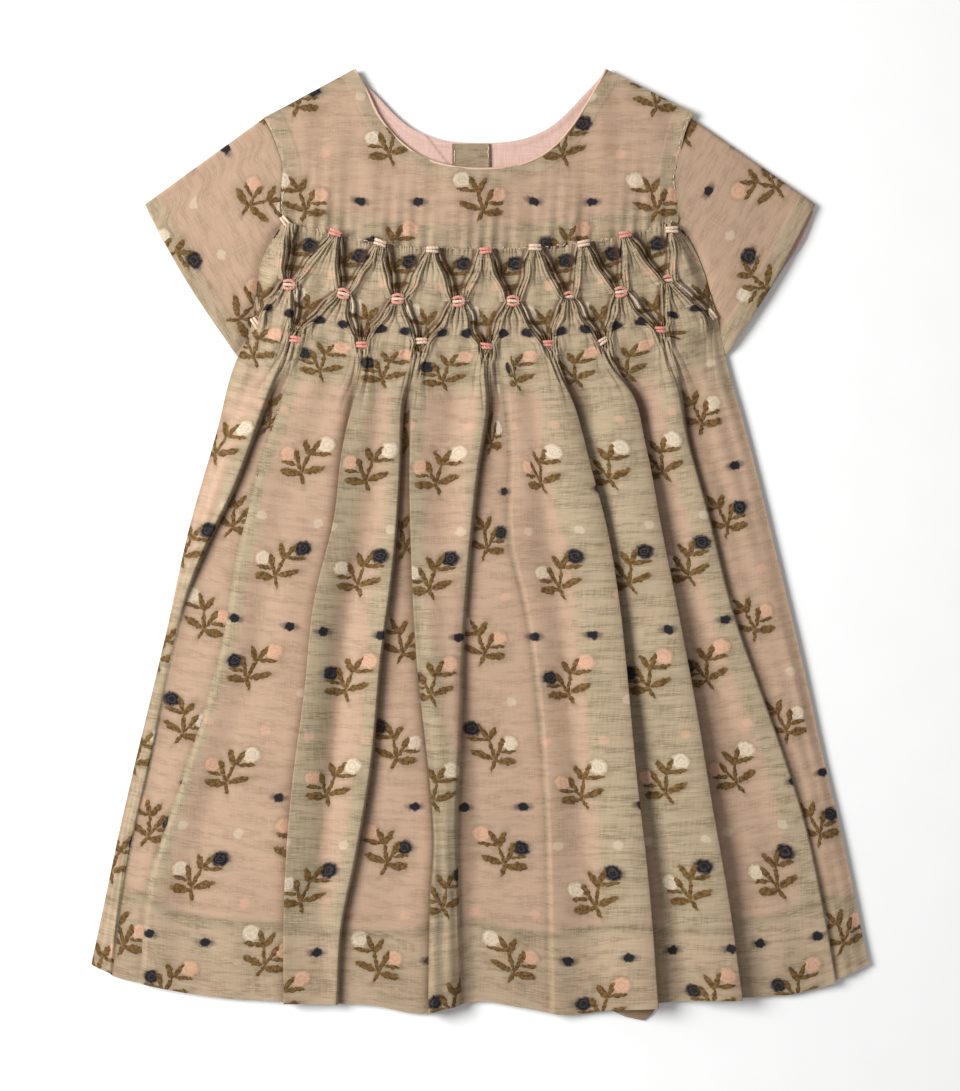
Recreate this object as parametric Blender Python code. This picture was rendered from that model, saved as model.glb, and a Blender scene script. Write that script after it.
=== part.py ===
"""Ruched baby dress, laid flat with its front up: a sheer slubbed cloth over a pink lining.

X runs across the dress, Y up towards the neck and Z away from the surface that it lies on. The origin is under the
middle of the dress. Lengths in this file are millimetres until a mesh is made, and MM turns them into metres.
"""

import math

import bmesh
import bpy
import numpy as np

MM = 0.001

# Cloth and layers
CLOTH = 1.1  # wall of the sheer outer cloth, slubs and floating threads included
LINING = 1.0  # wall of the plain lining
SEAM_GAP = 0.3  # between two pieces at a seam, and between two layers
BACK_TOP = 1.2  # the back lies on the surface, from 0 to here
LINING_BASE = BACK_TOP + SEAM_GAP
LINING_TOP = LINING_BASE + LINING
FRONT_BASE = LINING_TOP + SEAM_GAP  # inside of the front where it lies on the lining
SIDE_BASE = BACK_TOP + SEAM_GAP  # inside of the front where it meets the back at the side seams
SIDE_SLOPE = 7.0  # width over which the front drops from the lining to the side seam

# Heights along the middle of the dress
SHOULDER_Y = 233.0
SEAM_Y = 143.5  # yoke to skirt, which is also the first row of smocking
ROW_2_Y = 118.6
ROW_3_Y = 97.3
HEM_Y = -225.0
HEM_DROP_Y = -196.0  # below the lining the front sinks towards the back
HEM_DROP = 24.0  # and has reached it after this much
HEM_REACH = 80.0  # the rows of cloth take on the hem's own line over this height

# A row of cloth rises towards the sides, at the seam and at the hem
SEAM_LIFT = 14.0
HEM_LIFT = 18.5
LIFT_POWER = 2.4

# Side edges of the skirt, from the seam down (x, y)
LEFT_SIDE = (
    (-97.0, 157.5), (-106.8, 139.4), (-110.3, 119.8), (-112.7, 105.1), (-120.1, 88.9), (-128.9, 56.1),
    (-142.1, 10.0), (-154.4, -45.8), (-169.5, -109.0), (-183.3, -169.3), (-190.6, -206.0),
)
RIGHT_SIDE = (
    (97.5, 157.5), (107.8, 138.4), (113.7, 119.8), (117.6, 105.1), (121.0, 88.9), (129.5, 59.0),
    (145.0, -3.0), (158.0, -57.0), (168.6, -105.1), (180.5, -156.0), (190.6, -206.0),
)

# Hem of the front, left to right (x, y): it dips where a fold comes forward
FRONT_HEM = (
    (-190.6, -206.0), (-182.5, -210.5), (-164.5, -215.5), (-143.5, -220.0), (-100.0, -224.0), (-52.5, -226.0),
    (-24.5, -229.5), (-16.0, -226.5), (0.0, -224.0), (20.5, -227.0), (46.5, -230.5), (60.0, -228.5),
    (87.0, -225.0), (115.0, -222.5), (142.5, -221.5), (156.0, -220.0), (174.0, -213.5), (190.6, -206.0),
)
# The back's hem is a little shorter, and one fold of it hangs out under the front (x, y)
BACK_HEM_SHORT = 1.5
BACK_HEM_PEEP = ((61.0, -226.0), (64.0, -228.5), (71.5, -232.0), (80.5, -233.8), (84.5, -230.5), (87.0, -224.0))
# Lower edge of the skirt lining, left to right (x, y)
LINING_HEM = (
    (-166.0, -171.0), (-146.0, -179.5), (-96.0, -185.5), (-27.5, -188.0), (-8.5, -184.5), (29.5, -190.0),
    (74.0, -185.0), (95.0, -188.0), (121.5, -184.5), (145.0, -180.5), (171.0, -172.0),
)

# Bodice edges (x, y)
LEFT_ARMHOLE = (
    (-97.0, 157.7), (-98.0, 166.0), (-97.5, 174.0), (-97.0, 187.0), (-98.5, 192.0), (-103.0, 203.5), (-106.0, 209.0),
)
RIGHT_ARMHOLE = (
    (97.5, 157.7), (97.0, 168.5), (96.0, 180.0), (98.0, 191.0), (100.5, 202.0), (104.5, 211.5),
)
LEFT_NECK_X = -61.5
RIGHT_NECK_X = 62.0
FRONT_NECKLINE = (
    (LEFT_NECK_X, SHOULDER_Y), (-55.5, 222.5), (-49.5, 210.0), (-39.0, 197.5), (-28.5, 190.0), (-17.5, 186.0),
    (0.0, 184.0), (19.0, 186.0), (30.0, 190.5), (39.0, 197.5), (45.5, 205.5), (53.0, 217.0),
    (RIGHT_NECK_X, SHOULDER_Y),
)
BACK_NECKLINE = (
    (LEFT_NECK_X, SHOULDER_Y), (-57.5, 227.5), (-49.5, 219.0), (-41.0, 210.0), (-34.0, 204.5), (-23.0, 199.5),
    (0.0, 197.0), (23.0, 199.5), (34.0, 204.5), (41.0, 210.0), (49.5, 219.0), (57.5, 227.5),
    (RIGHT_NECK_X, SHOULDER_Y),
)
SHOULDER_SHARE = 0.22  # of the yoke's upper edge, for each shoulder
PLACKET = {"left": -13.5, "right": 5.0, "bottom": 158.0, "top": 196.4}
PLACKET_RISE = LINING + SEAM_GAP  # the yoke steps up over the placket by this much
PLACKET_SLOPE = 12.0

# Sleeves, from the shoulder to the underarm
CUFF_TIP = (164.5, 167.0)
SLEEVE_TOP_Y = 209.5
UNDERARM_Y = 90.0
SLEEVE_STATIONS = 15
SLEEVE_RINGS = 8
SLEEVE_HEIGHT = 3.5  # a flattened tube: this thick from the surface to its upper side
SLEEVE_CROWN = 1.2  # how much the upper side rises in the middle
SLEEVE_GAP = 0.8  # from the sleeve's seam to the body's edge, whose corners differ a little
CUFF_BOW = (1.7, -1.0)  # how far the middle of the cuff bows outwards
CUFF_FOOT_SHARE = 0.03  # the cuff ends this share of the underarm's way before the side of the body

# Smocking: knots of the three rows (x), at whole, half and whole steps of the pleating
PLEATS = 8
EDGE_STEP = 0.2  # cloth past the first and last pleat, in pleats
ROW_1 = (-95.5, -70.5, -48.5, -23.5, 2.5, 27.0, 50.5, 71.0, 94.0)
ROW_2 = (-93.0, -66.5, -40.0, -10.5, 16.0, 43.5, 69.0, 92.0)
ROW_3 = (-110.0, -90.0, -57.5, -29.0, 3.0, 33.5, 59.5, 88.5, 113.5)
PINCH = 0.08  # how near to a knot the two pleats beside it come, in steps
FLANK = 0.085  # a pleat's side, in steps
RIDGE_HEIGHT = 4.8  # of the pleat that runs from knot to knot
RIDGE_HALF = 2.7  # half its width
PINCH_HEIGHT = 3.0  # of the pleat where a knot draws it in
PUFF_HEIGHT = 1.6  # swell of the closed cells
SMOCKED_END = 20.0  # the inside is plain down to here below the third row, and follows the folds from there

# Folds of the skirt. "step" is the place in the pleating where the fold starts, "faces" the side of its free edge,
# "tuck" how far that edge leans over the cloth beside it, "rise" the width of its sloping side, and "high" its
# height below the smocking, half way down and at the hem. "path" is the visible edge from the third row down (x, y).
FOLDS = (
    {"step": 1.0, "faces": 1, "tuck": 2.0, "rise": 14.0, "high": (3.4, 2.6, 0.3), "path": (
        (-90.0, 100.0), (-101.0, 75.5), (-111.5, 48.5), (-120.5, 25.5), (-133.0, 0.0), (-146.0, -34.0),
        (-153.0, -62.5), (-161.5, -105.5), (-172.5, -154.5), (-180.5, -212.0))},
    {"step": 1.12, "faces": -1, "tuck": 0.5, "rise": 16.0, "high": (0.4, 1.6, 1.4), "path": (
        (-86.0, 98.5), (-95.5, 73.5), (-103.5, 51.5), (-118.0, -3.0), (-128.0, -58.0), (-146.0, -116.5),
        (-161.0, -163.0), (-166.5, -215.0))},
    {"step": 2.0, "faces": -1, "tuck": 4.0, "rise": 16.0, "high": (4.4, 5.0, 4.0), "path": (
        (-57.5, 97.5), (-61.5, 75.5), (-68.0, 42.0), (-71.0, 15.0), (-81.0, -27.5), (-86.0, -74.0),
        (-92.0, -119.5), (-95.5, -169.5), (-96.0, -224.0))},
    {"step": 2.9, "faces": 1, "tuck": 2.5, "rise": 17.0, "high": (3.0, 4.4, 3.4), "path": (
        (-32.0, 97.5), (-35.5, 80.5), (-37.5, 63.5), (-38.5, 39.5), (-42.0, -9.5), (-47.5, -52.0),
        (-53.5, -113.0), (-61.0, -156.5), (-67.0, -185.5), (-69.5, -225.0))},
    {"step": 3.05, "faces": -1, "tuck": 3.0, "rise": 20.0, "high": (3.0, 4.8, 5.4), "path": (
        (-27.5, 97.5), (-33.0, 75.5), (-34.5, 39.5), (-34.0, 2.5), (-31.0, -56.5), (-24.5, -119.5),
        (-23.0, -144.5), (-24.5, -174.0), (-25.5, -229.0))},
    {"step": 4.0, "faces": 1, "tuck": 2.0, "rise": 18.0, "high": (3.6, 3.0, 0.8), "path": (
        (3.0, 97.0), (5.0, 73.5), (-0.5, 34.5), (-4.0, 1.5), (-7.5, -44.5), (-8.5, -76.0),
        (-10.0, -125.0), (-9.0, -225.0))},
    {"step": 4.15, "faces": -1, "tuck": 1.0, "rise": 16.0, "high": (1.6, 2.4, 1.6), "path": (
        (7.5, 97.0), (12.0, 75.5), (14.5, 46.5), (15.0, 0.0), (21.5, -28.0), (28.5, -76.0),
        (32.0, -125.0), (34.5, -228.0))},
    {"step": 5.0, "faces": 1, "tuck": 9.0, "rise": 22.0, "high": (4.6, 6.4, 7.0), "path": (
        (33.5, 98.0), (38.5, 87.0), (45.0, 71.5), (54.5, 37.0), (62.0, 8.5), (67.5, -24.5),
        (73.0, -76.0), (76.0, -109.0), (82.0, -161.5), (87.0, -225.0))},
    {"step": 6.0, "faces": 1, "tuck": 9.0, "rise": 22.0, "high": (4.8, 6.4, 6.4), "path": (
        (59.5, 99.0), (66.0, 87.0), (74.0, 75.0), (81.0, 48.0), (88.5, 8.5), (99.0, -44.5),
        (106.0, -83.0), (113.5, -128.5), (121.5, -174.5), (128.0, -221.0))},
    {"step": 7.0, "faces": 1, "tuck": 2.5, "rise": 18.0, "high": (3.6, 3.0, 1.2), "path": (
        (88.5, 105.0), (95.0, 90.0), (103.0, 48.0), (112.0, 15.0), (125.5, -37.5), (137.0, -70.0),
        (147.5, -99.5), (159.0, -135.5), (167.5, -174.5), (174.5, -214.0))},
)
FOLD_LIP = 3.0  # the free edge starts to turn down this far inside the fold
FOLD_DROP = 7.0  # and reaches the cloth below this far outside it
FOLD_EDGE_SHARE = 0.8  # share of the tuck by which the visible edge leads the place where the fold turns down
FOLD_HEIGHTS_Y = (70.0, -60.0, -225.0)
FOLD_STATIONS = (86.0, 66.0, 42.0, 12.0, -25.0, -70.0, -115.0, -165.0, -225.0)  # rows where the columns are set out
FOLD_START = 32.0  # a fold has its full height this far below the third row
SHORT_RIDGE = 26.0  # how far the smocking's ridges run down into the skirt
SIDE_SOFT = 8.0  # relief grows over this width from the side edge
SIDE_RELIEF = 0.25  # share of the relief at the very edge

# How finely the front skirt is divided: columns beside each knot, in steps from it, and rows of cloth
LOOSE_COLUMNS = (0.0, 0.10, 0.22, 0.36)
SETTLE = 60.0  # the columns have reached these places, and the folds their full tuck, this far below the smocking
TABLE_STEP = 0.02
SKIRT_ROWS = (
    143.35, 139.5, 135.0, 130.0, 125.0, 121.0, 118.6, 116.0, 112.0, 107.5, 103.0, 99.5, 97.3, 94.5, 89.5, 82.0,
    70.0, 52.0, 28.0, 0.0, -30.0, -62.0, -95.0, -127.0, -157.0, -182.0, -200.0, -214.0, -225.0,
)

# Colours as linear RGB, and roughness
GREIGE = (0.36, 0.29, 0.19)
ROSE_GREIGE = (0.52, 0.34, 0.24)
LINING_PINK = (0.79, 0.50, 0.45)
CLOTH_ROUGHNESS = 0.85
SHARP_ANGLE = math.radians(75.0)


def ease(t):
    """From 0 to 1 without a corner at either end."""
    t = np.clip(t, 0.0, 1.0)
    return 0.5 - 0.5 * np.cos(np.pi * t)


def smooth_curve(keys, values):
    """A smooth function through the values at rising keys, held level past both ends."""
    keys = np.asarray(keys, float)
    values = np.asarray(values, float)
    slopes = np.gradient(values, keys, axis=0)

    def at(key):
        key = np.clip(np.asarray(key, float), keys[0], keys[-1])
        span = np.clip(np.searchsorted(keys, key) - 1, 0, len(keys) - 2)
        width = keys[span + 1] - keys[span]
        t = (key - keys[span]) / width
        if values.ndim > 1:
            t = t[..., None]
            width = width[..., None]
        bend = t * t * (3.0 - 2.0 * t)
        start = values[span] * (1.0 - bend) + slopes[span] * width * t * (1.0 - t) ** 2
        return start + values[span + 1] * bend - slopes[span + 1] * width * t * t * (1.0 - t)

    return at


def x_along(points):
    """Turns points listed from the neck down into a function that gives x at a height y."""
    table = np.array(sorted(points, key=lambda p: p[1]))
    return smooth_curve(table[:, 1], table[:, 0])


def y_along(points):
    """Turns points listed from left to right into a function that gives y at a place x."""
    table = np.array(points)
    return smooth_curve(table[:, 0], table[:, 1])


def along(points):
    """A smooth line through points, as a function of the share 0 to 1 of its length."""
    table = np.asarray(points, float)
    lengths = np.concatenate([[0.0], np.cumsum(np.linalg.norm(np.diff(table, axis=0), axis=1))])
    return smooth_curve(lengths / lengths[-1], table)


def body_edge_of(armhole, side):
    """Edge of the body as x along y: the armhole above the seam, and the side below it."""
    upper = x_along(armhole)
    lower = x_along(side)
    return lambda y: np.where(y > armhole[0][1], upper(y), lower(y))


left_side = x_along(LEFT_SIDE)
right_side = x_along(RIGHT_SIDE)
front_hem = y_along(FRONT_HEM)


def row_height(x, middle_y):
    """Height y, at the place x, of the row of cloth that crosses the middle of the dress at middle_y."""
    down = (SEAM_Y - middle_y) / (SEAM_Y - HEM_Y)
    lift = SEAM_LIFT + (HEM_LIFT - SEAM_LIFT) * down
    left = left_side(middle_y + lift)
    right = right_side(middle_y + lift)
    across = np.abs((x - (left + right) / 2) / ((right - left) / 2))
    plain = middle_y + lift * np.clip(across, 0.0, 1.1) ** LIFT_POWER
    hem_share = ease((HEM_Y + HEM_REACH - middle_y) / HEM_REACH)
    plain_hem = HEM_Y + HEM_LIFT * np.clip(across, 0.0, 1.1) ** LIFT_POWER
    return plain + hem_share * (front_hem(x) - plain_hem)


def row_through(x, y):
    """The row of cloth, as its height in the middle of the dress, that passes through a place."""
    middle_y = y
    for _ in range(8):
        middle_y = middle_y + y - float(row_height(x, middle_y))
    return middle_y


def side_place(side, middle_y):
    """Where a row of cloth ends, on the left or the right side."""
    down = (SEAM_Y - middle_y) / (SEAM_Y - HEM_Y)
    return float(side(middle_y + SEAM_LIFT + (HEM_LIFT - SEAM_LIFT) * down))


def pleat_place(row, step):
    """Place x of a pleating step on row 0, 1 or 2 of the smocking."""
    whole = np.arange(PLEATS + 1)
    ends = [-EDGE_STEP, PLEATS + EDGE_STEP]
    steps = (whole, whole[:-1] + 0.5, whole)[row]
    knots = (ROW_1, ROW_2, ROW_3)[row]
    middle_y = (SEAM_Y, ROW_2_Y, ROW_3_Y)[row]
    keys = [ends[0], *steps, ends[1]]
    values = [side_place(left_side, middle_y), *knots, side_place(right_side, middle_y)]
    return np.interp(step, keys, values)


def fold_tuck(fold, y):
    """How far a fold leans over at the height y: nothing at the smocking, all of it lower down."""
    return fold["tuck"] * ease((ROW_3_Y - y) / SETTLE)


def fold_line(fold):
    """Where the fold turns down, as x along y: the visible edge less its share of the tuck."""
    edge = x_along(fold["path"])
    return lambda y: edge(y) - fold["faces"] * FOLD_EDGE_SHARE * fold_tuck(fold, y)


def fold_column(fold):
    """The same line as x along the rows of cloth."""
    line = fold_line(fold)
    heights = [y for x, y in fold["path"]]
    return x_along([(float(line(y)), row_through(float(line(y)), y)) for y in heights])


def column_curves(steps):
    """The lengthwise lines of the front's cloth, as x along the rows, for steps of the pleating."""
    fold_steps = [-EDGE_STEP] + [fold["step"] for fold in FOLDS] + [PLEATS + EDGE_STEP]
    columns = [fold_column(fold) for fold in FOLDS]
    stations = []
    for row in FOLD_STATIONS:
        places = [side_place(left_side, row)] + [float(column(row)) for column in columns]
        stations.append((row, places + [side_place(right_side, row)]))
    curves = []
    for step in steps:
        points = [(float(pleat_place(row, step)), (SEAM_Y, ROW_2_Y, ROW_3_Y)[row]) for row in range(3)]
        points += [(float(np.interp(step, fold_steps, places)), row) for row, places in stations]
        curves.append(x_along(points))
    return curves


def zigzag(middle_y):
    """Distance in steps from a knot of rows 1 and 3 to the pleats that run between the three rows."""
    row = np.where(
        middle_y > ROW_2_Y,
        (SEAM_Y - middle_y) / (SEAM_Y - ROW_2_Y),
        1.0 + (ROW_2_Y - middle_y) / (ROW_2_Y - ROW_3_Y),
    )
    swing = 1.0 - np.abs(np.clip(row, 0.0, 2.0) - 1.0)
    return PINCH + (0.5 - 2 * PINCH) * swing


def row_steps(middle_y):
    """The pleating steps of one row's points: they follow the pleats, and spread out below them."""
    pleat = float(zigzag(middle_y))
    side = min(FLANK, 0.5 * pleat, 0.5 * (0.5 - pleat))
    loose = float(ease((ROW_3_Y - middle_y) / SETTLE))
    beside = [
        (1 - loose) * tight + loose * free
        for tight, free in zip((0.0, pleat - side, pleat, pleat + side), LOOSE_COLUMNS)
    ]
    steps = [-EDGE_STEP, -EDGE_STEP / 2]
    for pleat_number in range(PLEATS):
        steps += [pleat_number + share for share in beside]
        steps.append(pleat_number + 0.5)
        steps += [pleat_number + 1 - share for share in beside[:0:-1]]
    return steps + [PLEATS, PLEATS + EDGE_STEP / 2, PLEATS + EDGE_STEP]


def front_grid(rows):
    """Steps and flat places x and y of the front skirt's points, one row of points for each row of cloth."""
    table_steps = np.arange(-EDGE_STEP, PLEATS + EDGE_STEP + TABLE_STEP / 2, TABLE_STEP)
    table = np.stack([curve(rows) for curve in column_curves(table_steps)], axis=1)
    steps = np.array([row_steps(row) for row in rows])
    x = np.stack([np.interp(steps[i], table_steps, table[i]) for i in range(len(rows))])
    y = np.stack([row_height(x[i], row) for i, row in enumerate(rows)])
    return steps, x, y


def inside_height(x, y, middle_y):
    """Height of the inside of the front skirt where it has no fold."""
    from_side = np.minimum(x - left_side(y), right_side(y) - x)
    over_lining = 1.0 - ease((HEM_DROP_Y - middle_y) / HEM_DROP)
    return SIDE_BASE + (FRONT_BASE - SIDE_BASE) * ease(from_side / SIDE_SLOPE) * over_lining


def smocking_height(step, middle_y, pitch):
    """Height of the smocked cloth over its inside: pleats from knot to knot round swelling cells."""
    pleat = zigzag(middle_y)
    beside = np.abs(step - np.round(step))
    off = np.abs(beside - pleat) * pitch
    drawn_in = np.abs(2.0 * (pleat - PINCH) / (0.5 - 2 * PINCH) - 1.0)
    ridge = RIDGE_HEIGHT + (PINCH_HEIGHT - RIDGE_HEIGHT) * drawn_in**3
    cell = np.clip((pleat - beside) / 0.5, 0.0, 1.0)
    return ridge * np.exp(-((off / RIDGE_HALF) ** 2)) + PUFF_HEIGHT * ease(cell * 2.0)


def fold_relief(x, y):
    """Height of the skirt's folds and their sideways lean at the flat places x and y."""
    high = np.zeros_like(x)
    lean = np.zeros_like(x)
    for fold in FOLDS:
        height = smooth_curve(FOLD_HEIGHTS_Y[::-1], fold["high"][::-1])(y) * ease((ROW_3_Y - y) / FOLD_START)
        out = (x - fold_line(fold)(y)) * fold["faces"]
        sloping = ease((out + FOLD_LIP + fold["rise"]) / fold["rise"])
        turned = 1.0 - ease((out + FOLD_LIP) / (FOLD_LIP + FOLD_DROP))
        shape = sloping * turned
        high += height * shape
        lean += fold["faces"] * fold_tuck(fold, y) * shape
    return high, lean


def wall_inside(outer, thickness):
    """The inner side of a wall: each outer point moved in along the surface's own direction."""
    across = np.gradient(outer, axis=1)
    down = np.gradient(outer, axis=0)
    outward = np.cross(down, across)
    outward /= np.linalg.norm(outward, axis=2, keepdims=True)
    return outer - outward * thickness


def wall_mesh(name, outer, inner):
    """A closed wall between two grids of points of the same size, with a rim round their edge."""
    rows, columns = outer.shape[:2]
    count = rows * columns
    verts = np.concatenate([outer.reshape(-1, 3), inner.reshape(-1, 3)]) * MM
    faces = []
    for i in range(rows - 1):
        for j in range(columns - 1):
            a = i * columns + j
            b = a + columns
            faces.append((a, b, b + 1, a + 1))
            faces.append((count + a, count + a + 1, count + b + 1, count + b))
    rim = [j for j in range(columns)]
    rim += [i * columns + columns - 1 for i in range(1, rows)]
    rim += [(rows - 1) * columns + j for j in range(columns - 2, -1, -1)]
    rim += [i * columns for i in range(rows - 2, 0, -1)]
    for a, b in zip(rim, rim[1:] + rim[:1]):
        faces.append((a, b, count + b, count + a))
    mesh = bpy.data.meshes.new(name)
    mesh.from_pydata(verts.tolist(), [], faces)
    return mesh


def finish(name, mesh, colour):
    """Makes an object of a mesh, with every face pointing out, shaded smooth and in its own material."""
    shape = bmesh.new()
    shape.from_mesh(mesh)
    bmesh.ops.recalc_face_normals(shape, faces=shape.faces)
    shape.to_mesh(mesh)
    shape.free()
    mesh.shade_smooth()
    mesh.set_sharp_from_angle(angle=SHARP_ANGLE)
    return place(name, mesh, colour)


def place(name, data, colour):
    """Adds a mesh or a curve to the dress under the piece's own name and material."""
    material = bpy.data.materials.new(name)
    material.use_nodes = True
    shader = material.node_tree.nodes["Principled BSDF"]
    shader.inputs["Base Color"].default_value = (*colour, 1.0)
    shader.inputs["Roughness"].default_value = CLOTH_ROUGHNESS
    data.materials.append(material)
    piece = bpy.data.objects.new(name, data)
    dress.objects.link(piece)
    return piece


def flat_panel(name, outline, base, thickness, colour):
    """A flat piece of cloth: its outline drawn as a filled curve and given half its thickness each way."""
    curve = bpy.data.curves.new(name, "CURVE")
    curve.dimensions = "2D"
    curve.fill_mode = "BOTH"
    curve.extrude = thickness / 2 * MM
    spline = curve.splines.new("POLY")
    spline.points.add(len(outline) - 1)
    for point, (x, y) in zip(spline.points, outline):
        point.co = (x * MM, y * MM, 0.0, 1.0)
    spline.use_cyclic_u = True
    piece = place(name, curve, colour)
    piece.location.z = (base + thickness / 2) * MM
    return piece


def coons(bottom, top, left, right, across, up):
    """Points inside four smooth edges, at the given shares across and up."""
    s = across[None, :, None]
    t = up[:, None, None]
    low, high = bottom(across)[None], top(across)[None]
    near, far = left(up)[:, None], right(up)[:, None]
    corners = (1 - s) * (1 - t) * low[:, :1] + s * (1 - t) * low[:, -1:]
    corners = corners + (1 - s) * t * high[:, :1] + s * t * high[:, -1:]
    return (1 - t) * low + t * high + (1 - s) * near + s * far - corners


def armhole_line(armhole):
    """An armhole from the seam up to the shoulder, as a function of the share of its height."""
    edge = x_along(armhole)

    def at(share):
        y = armhole[0][1] + (armhole[-1][1] - armhole[0][1]) * share
        return np.stack([edge(y), y], axis=1)

    return at


def seam_line(inset):
    """The yoke's lower edge from left to right, moved up by the inset."""
    x = np.linspace(LEFT_SIDE[0][0], RIGHT_SIDE[0][0], 25)
    return np.stack([x, row_height(x, SEAM_Y) + inset], axis=1)


def bodice_top(neckline, share):
    """Upper edge of the bodice at a share across: left shoulder, neckline, right shoulder."""
    neck = along(neckline)
    left = np.array(LEFT_ARMHOLE[-1])
    right = np.array(RIGHT_ARMHOLE[-1])
    points = []
    for s in share:
        if s < SHOULDER_SHARE:
            points.append(left + (np.array(neckline[0]) - left) * s / SHOULDER_SHARE)
        elif s > 1 - SHOULDER_SHARE:
            points.append(right + (np.array(neckline[-1]) - right) * (1 - s) / SHOULDER_SHARE)
        else:
            points.append(neck((s - SHOULDER_SHARE) / (1 - 2 * SHOULDER_SHARE)))
    return np.array(points)


def bodice_outline(neckline, inset):
    """Outline of a whole bodice panel, counter-clockwise from the left end of the seam."""
    seam = seam_line(0.5 * SEAM_GAP)
    right = armhole_line(RIGHT_ARMHOLE)(np.linspace(0, 1, 9))[1:]
    neck = along(neckline)(np.linspace(1, 0, 33))
    left = armhole_line(LEFT_ARMHOLE)(np.linspace(1, 0, 9))[:-1]
    outline = np.concatenate([seam, right, neck, left])
    middle = outline.mean(axis=0)
    return outline + (middle - outline) / np.linalg.norm(middle - outline, axis=1, keepdims=True) * inset


def back_bodice():
    """Outer back, face down on the surface."""
    flat_panel("back_bodice", bodice_outline(BACK_NECKLINE, 0.0), 0.0, BACK_TOP, GREIGE)


def bodice_lining():
    """Plain pink lining of the bodice, seen in the neck."""
    flat_panel("bodice_lining", bodice_outline(BACK_NECKLINE, 0.3), LINING_BASE, LINING, LINING_PINK)


def back_placket():
    """Straight strip of outer cloth beside the back opening."""
    edges = PLACKET
    outline = [
        (edges["left"], edges["bottom"]), (edges["right"], edges["bottom"]),
        (edges["right"], edges["top"]), (edges["left"], edges["top"]),
    ]
    flat_panel("back_placket", outline, FRONT_BASE, LINING, GREIGE)


def front_yoke():
    """Front yoke over the lining, with a step over the placket."""
    shoulder = np.linspace(0, SHOULDER_SHARE, 5)[:-1]
    neck = np.linspace(SHOULDER_SHARE, 1 - SHOULDER_SHARE, 19)
    across = np.concatenate([shoulder, neck, 1 - shoulder[::-1]])
    up = np.linspace(0, 1, 10)
    flat = coons(
        along(seam_line(0.5 * SEAM_GAP)),
        lambda share: bodice_top(FRONT_NECKLINE, share),
        armhole_line(LEFT_ARMHOLE),
        armhole_line(RIGHT_ARMHOLE),
        across,
        up,
    )
    x, y = flat[..., 0], flat[..., 1]
    middle = (PLACKET["left"] + PLACKET["right"]) / 2
    half = (PLACKET["right"] - PLACKET["left"]) / 2
    beside = 1.0 - ease((np.abs(x - middle) - half - 1.0) / PLACKET_SLOPE)
    above = ease((y - PLACKET["bottom"] + 10.0) / 8.0)
    inside = FRONT_BASE + (PLACKET_RISE + 0.1) * beside * above
    inner = np.stack([x, y, inside], axis=2)
    outer = inner + np.array([0.0, 0.0, CLOTH])
    finish("front_yoke", wall_mesh("front_yoke", outer, inner), ROSE_GREIGE)


def back_skirt():
    """Outer back of the skirt, flat on the surface, with one fold of its hem hanging out."""
    hem_x = np.linspace(FRONT_HEM[0][0] + 1.0, FRONT_HEM[-1][0] - 1.0, 45)
    peep = np.array(BACK_HEM_PEEP)
    hem = np.stack([hem_x, front_hem(hem_x) + BACK_HEM_SHORT], axis=1)
    hem = np.concatenate([hem[hem_x < peep[0, 0]], peep, hem[hem_x > peep[-1, 0]]])
    heights = np.linspace(-204.0, SEAM_Y + SEAM_LIFT - 1.0, 24)
    right = np.stack([right_side(heights), heights], axis=1)
    left = np.stack([left_side(heights), heights], axis=1)[::-1]
    seam = seam_line(-0.5 * SEAM_GAP)[::-1]
    flat_panel("back_skirt", np.concatenate([hem, right, seam[1:-1], left]), 0.0, BACK_TOP, GREIGE)


def skirt_lining():
    """Plain pink lining of the skirt, which ends above the hem."""
    inset = SIDE_SLOPE + 1.0
    heights = np.linspace(-168.0, SEAM_Y + 2.0, 20)
    right = np.stack([right_side(heights) - inset, heights], axis=1)
    left = np.stack([left_side(heights) + inset, heights], axis=1)[::-1]
    x = np.linspace(right[-1, 0] - 3.0, left[0, 0] + 3.0, 16)
    top = np.stack([x, row_height(x, SEAM_Y) - 3.0], axis=1)
    hem_x = np.linspace(LINING_HEM[0][0], LINING_HEM[-1][0], 28)
    hem = np.stack([hem_x, y_along(LINING_HEM)(hem_x)], axis=1)
    flat_panel("skirt_lining", np.concatenate([hem, right, top, left]), LINING_BASE, LINING, LINING_PINK)


def front_skirt():
    """Front of the skirt in one cloth: smocked at the top, folded below and open at the hem."""
    rows = np.array(SKIRT_ROWS)
    step, x, y = front_grid(rows)
    middle_y = np.repeat(rows[:, None], x.shape[1], axis=1)
    inside = inside_height(x, y, middle_y)
    pitch = (right_side(y) - left_side(y)) / (PLEATS + 2 * EDGE_STEP)
    into_skirt = 1.0 - ease((ROW_3_Y - middle_y) / SHORT_RIDGE)
    relief = smocking_height(step, middle_y, pitch) * into_skirt
    high, lean = fold_relief(x, y)
    from_side = ease(np.minimum(x - left_side(y), right_side(y) - x) / SIDE_SOFT)
    relief = (relief + high) * (SIDE_RELIEF + (1.0 - SIDE_RELIEF) * from_side)
    outer = np.stack([x + lean * from_side, y, inside + CLOTH + relief], axis=2)
    plain = np.stack([x, y, inside], axis=2)
    smocked = (1.0 - ease((ROW_3_Y - middle_y) / SMOCKED_END))[..., None]
    inner = plain * smocked + wall_inside(outer, CLOTH) * (1.0 - smocked)
    finish("front_skirt", wall_mesh("front_skirt", outer, inner), ROSE_GREIGE)


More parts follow.
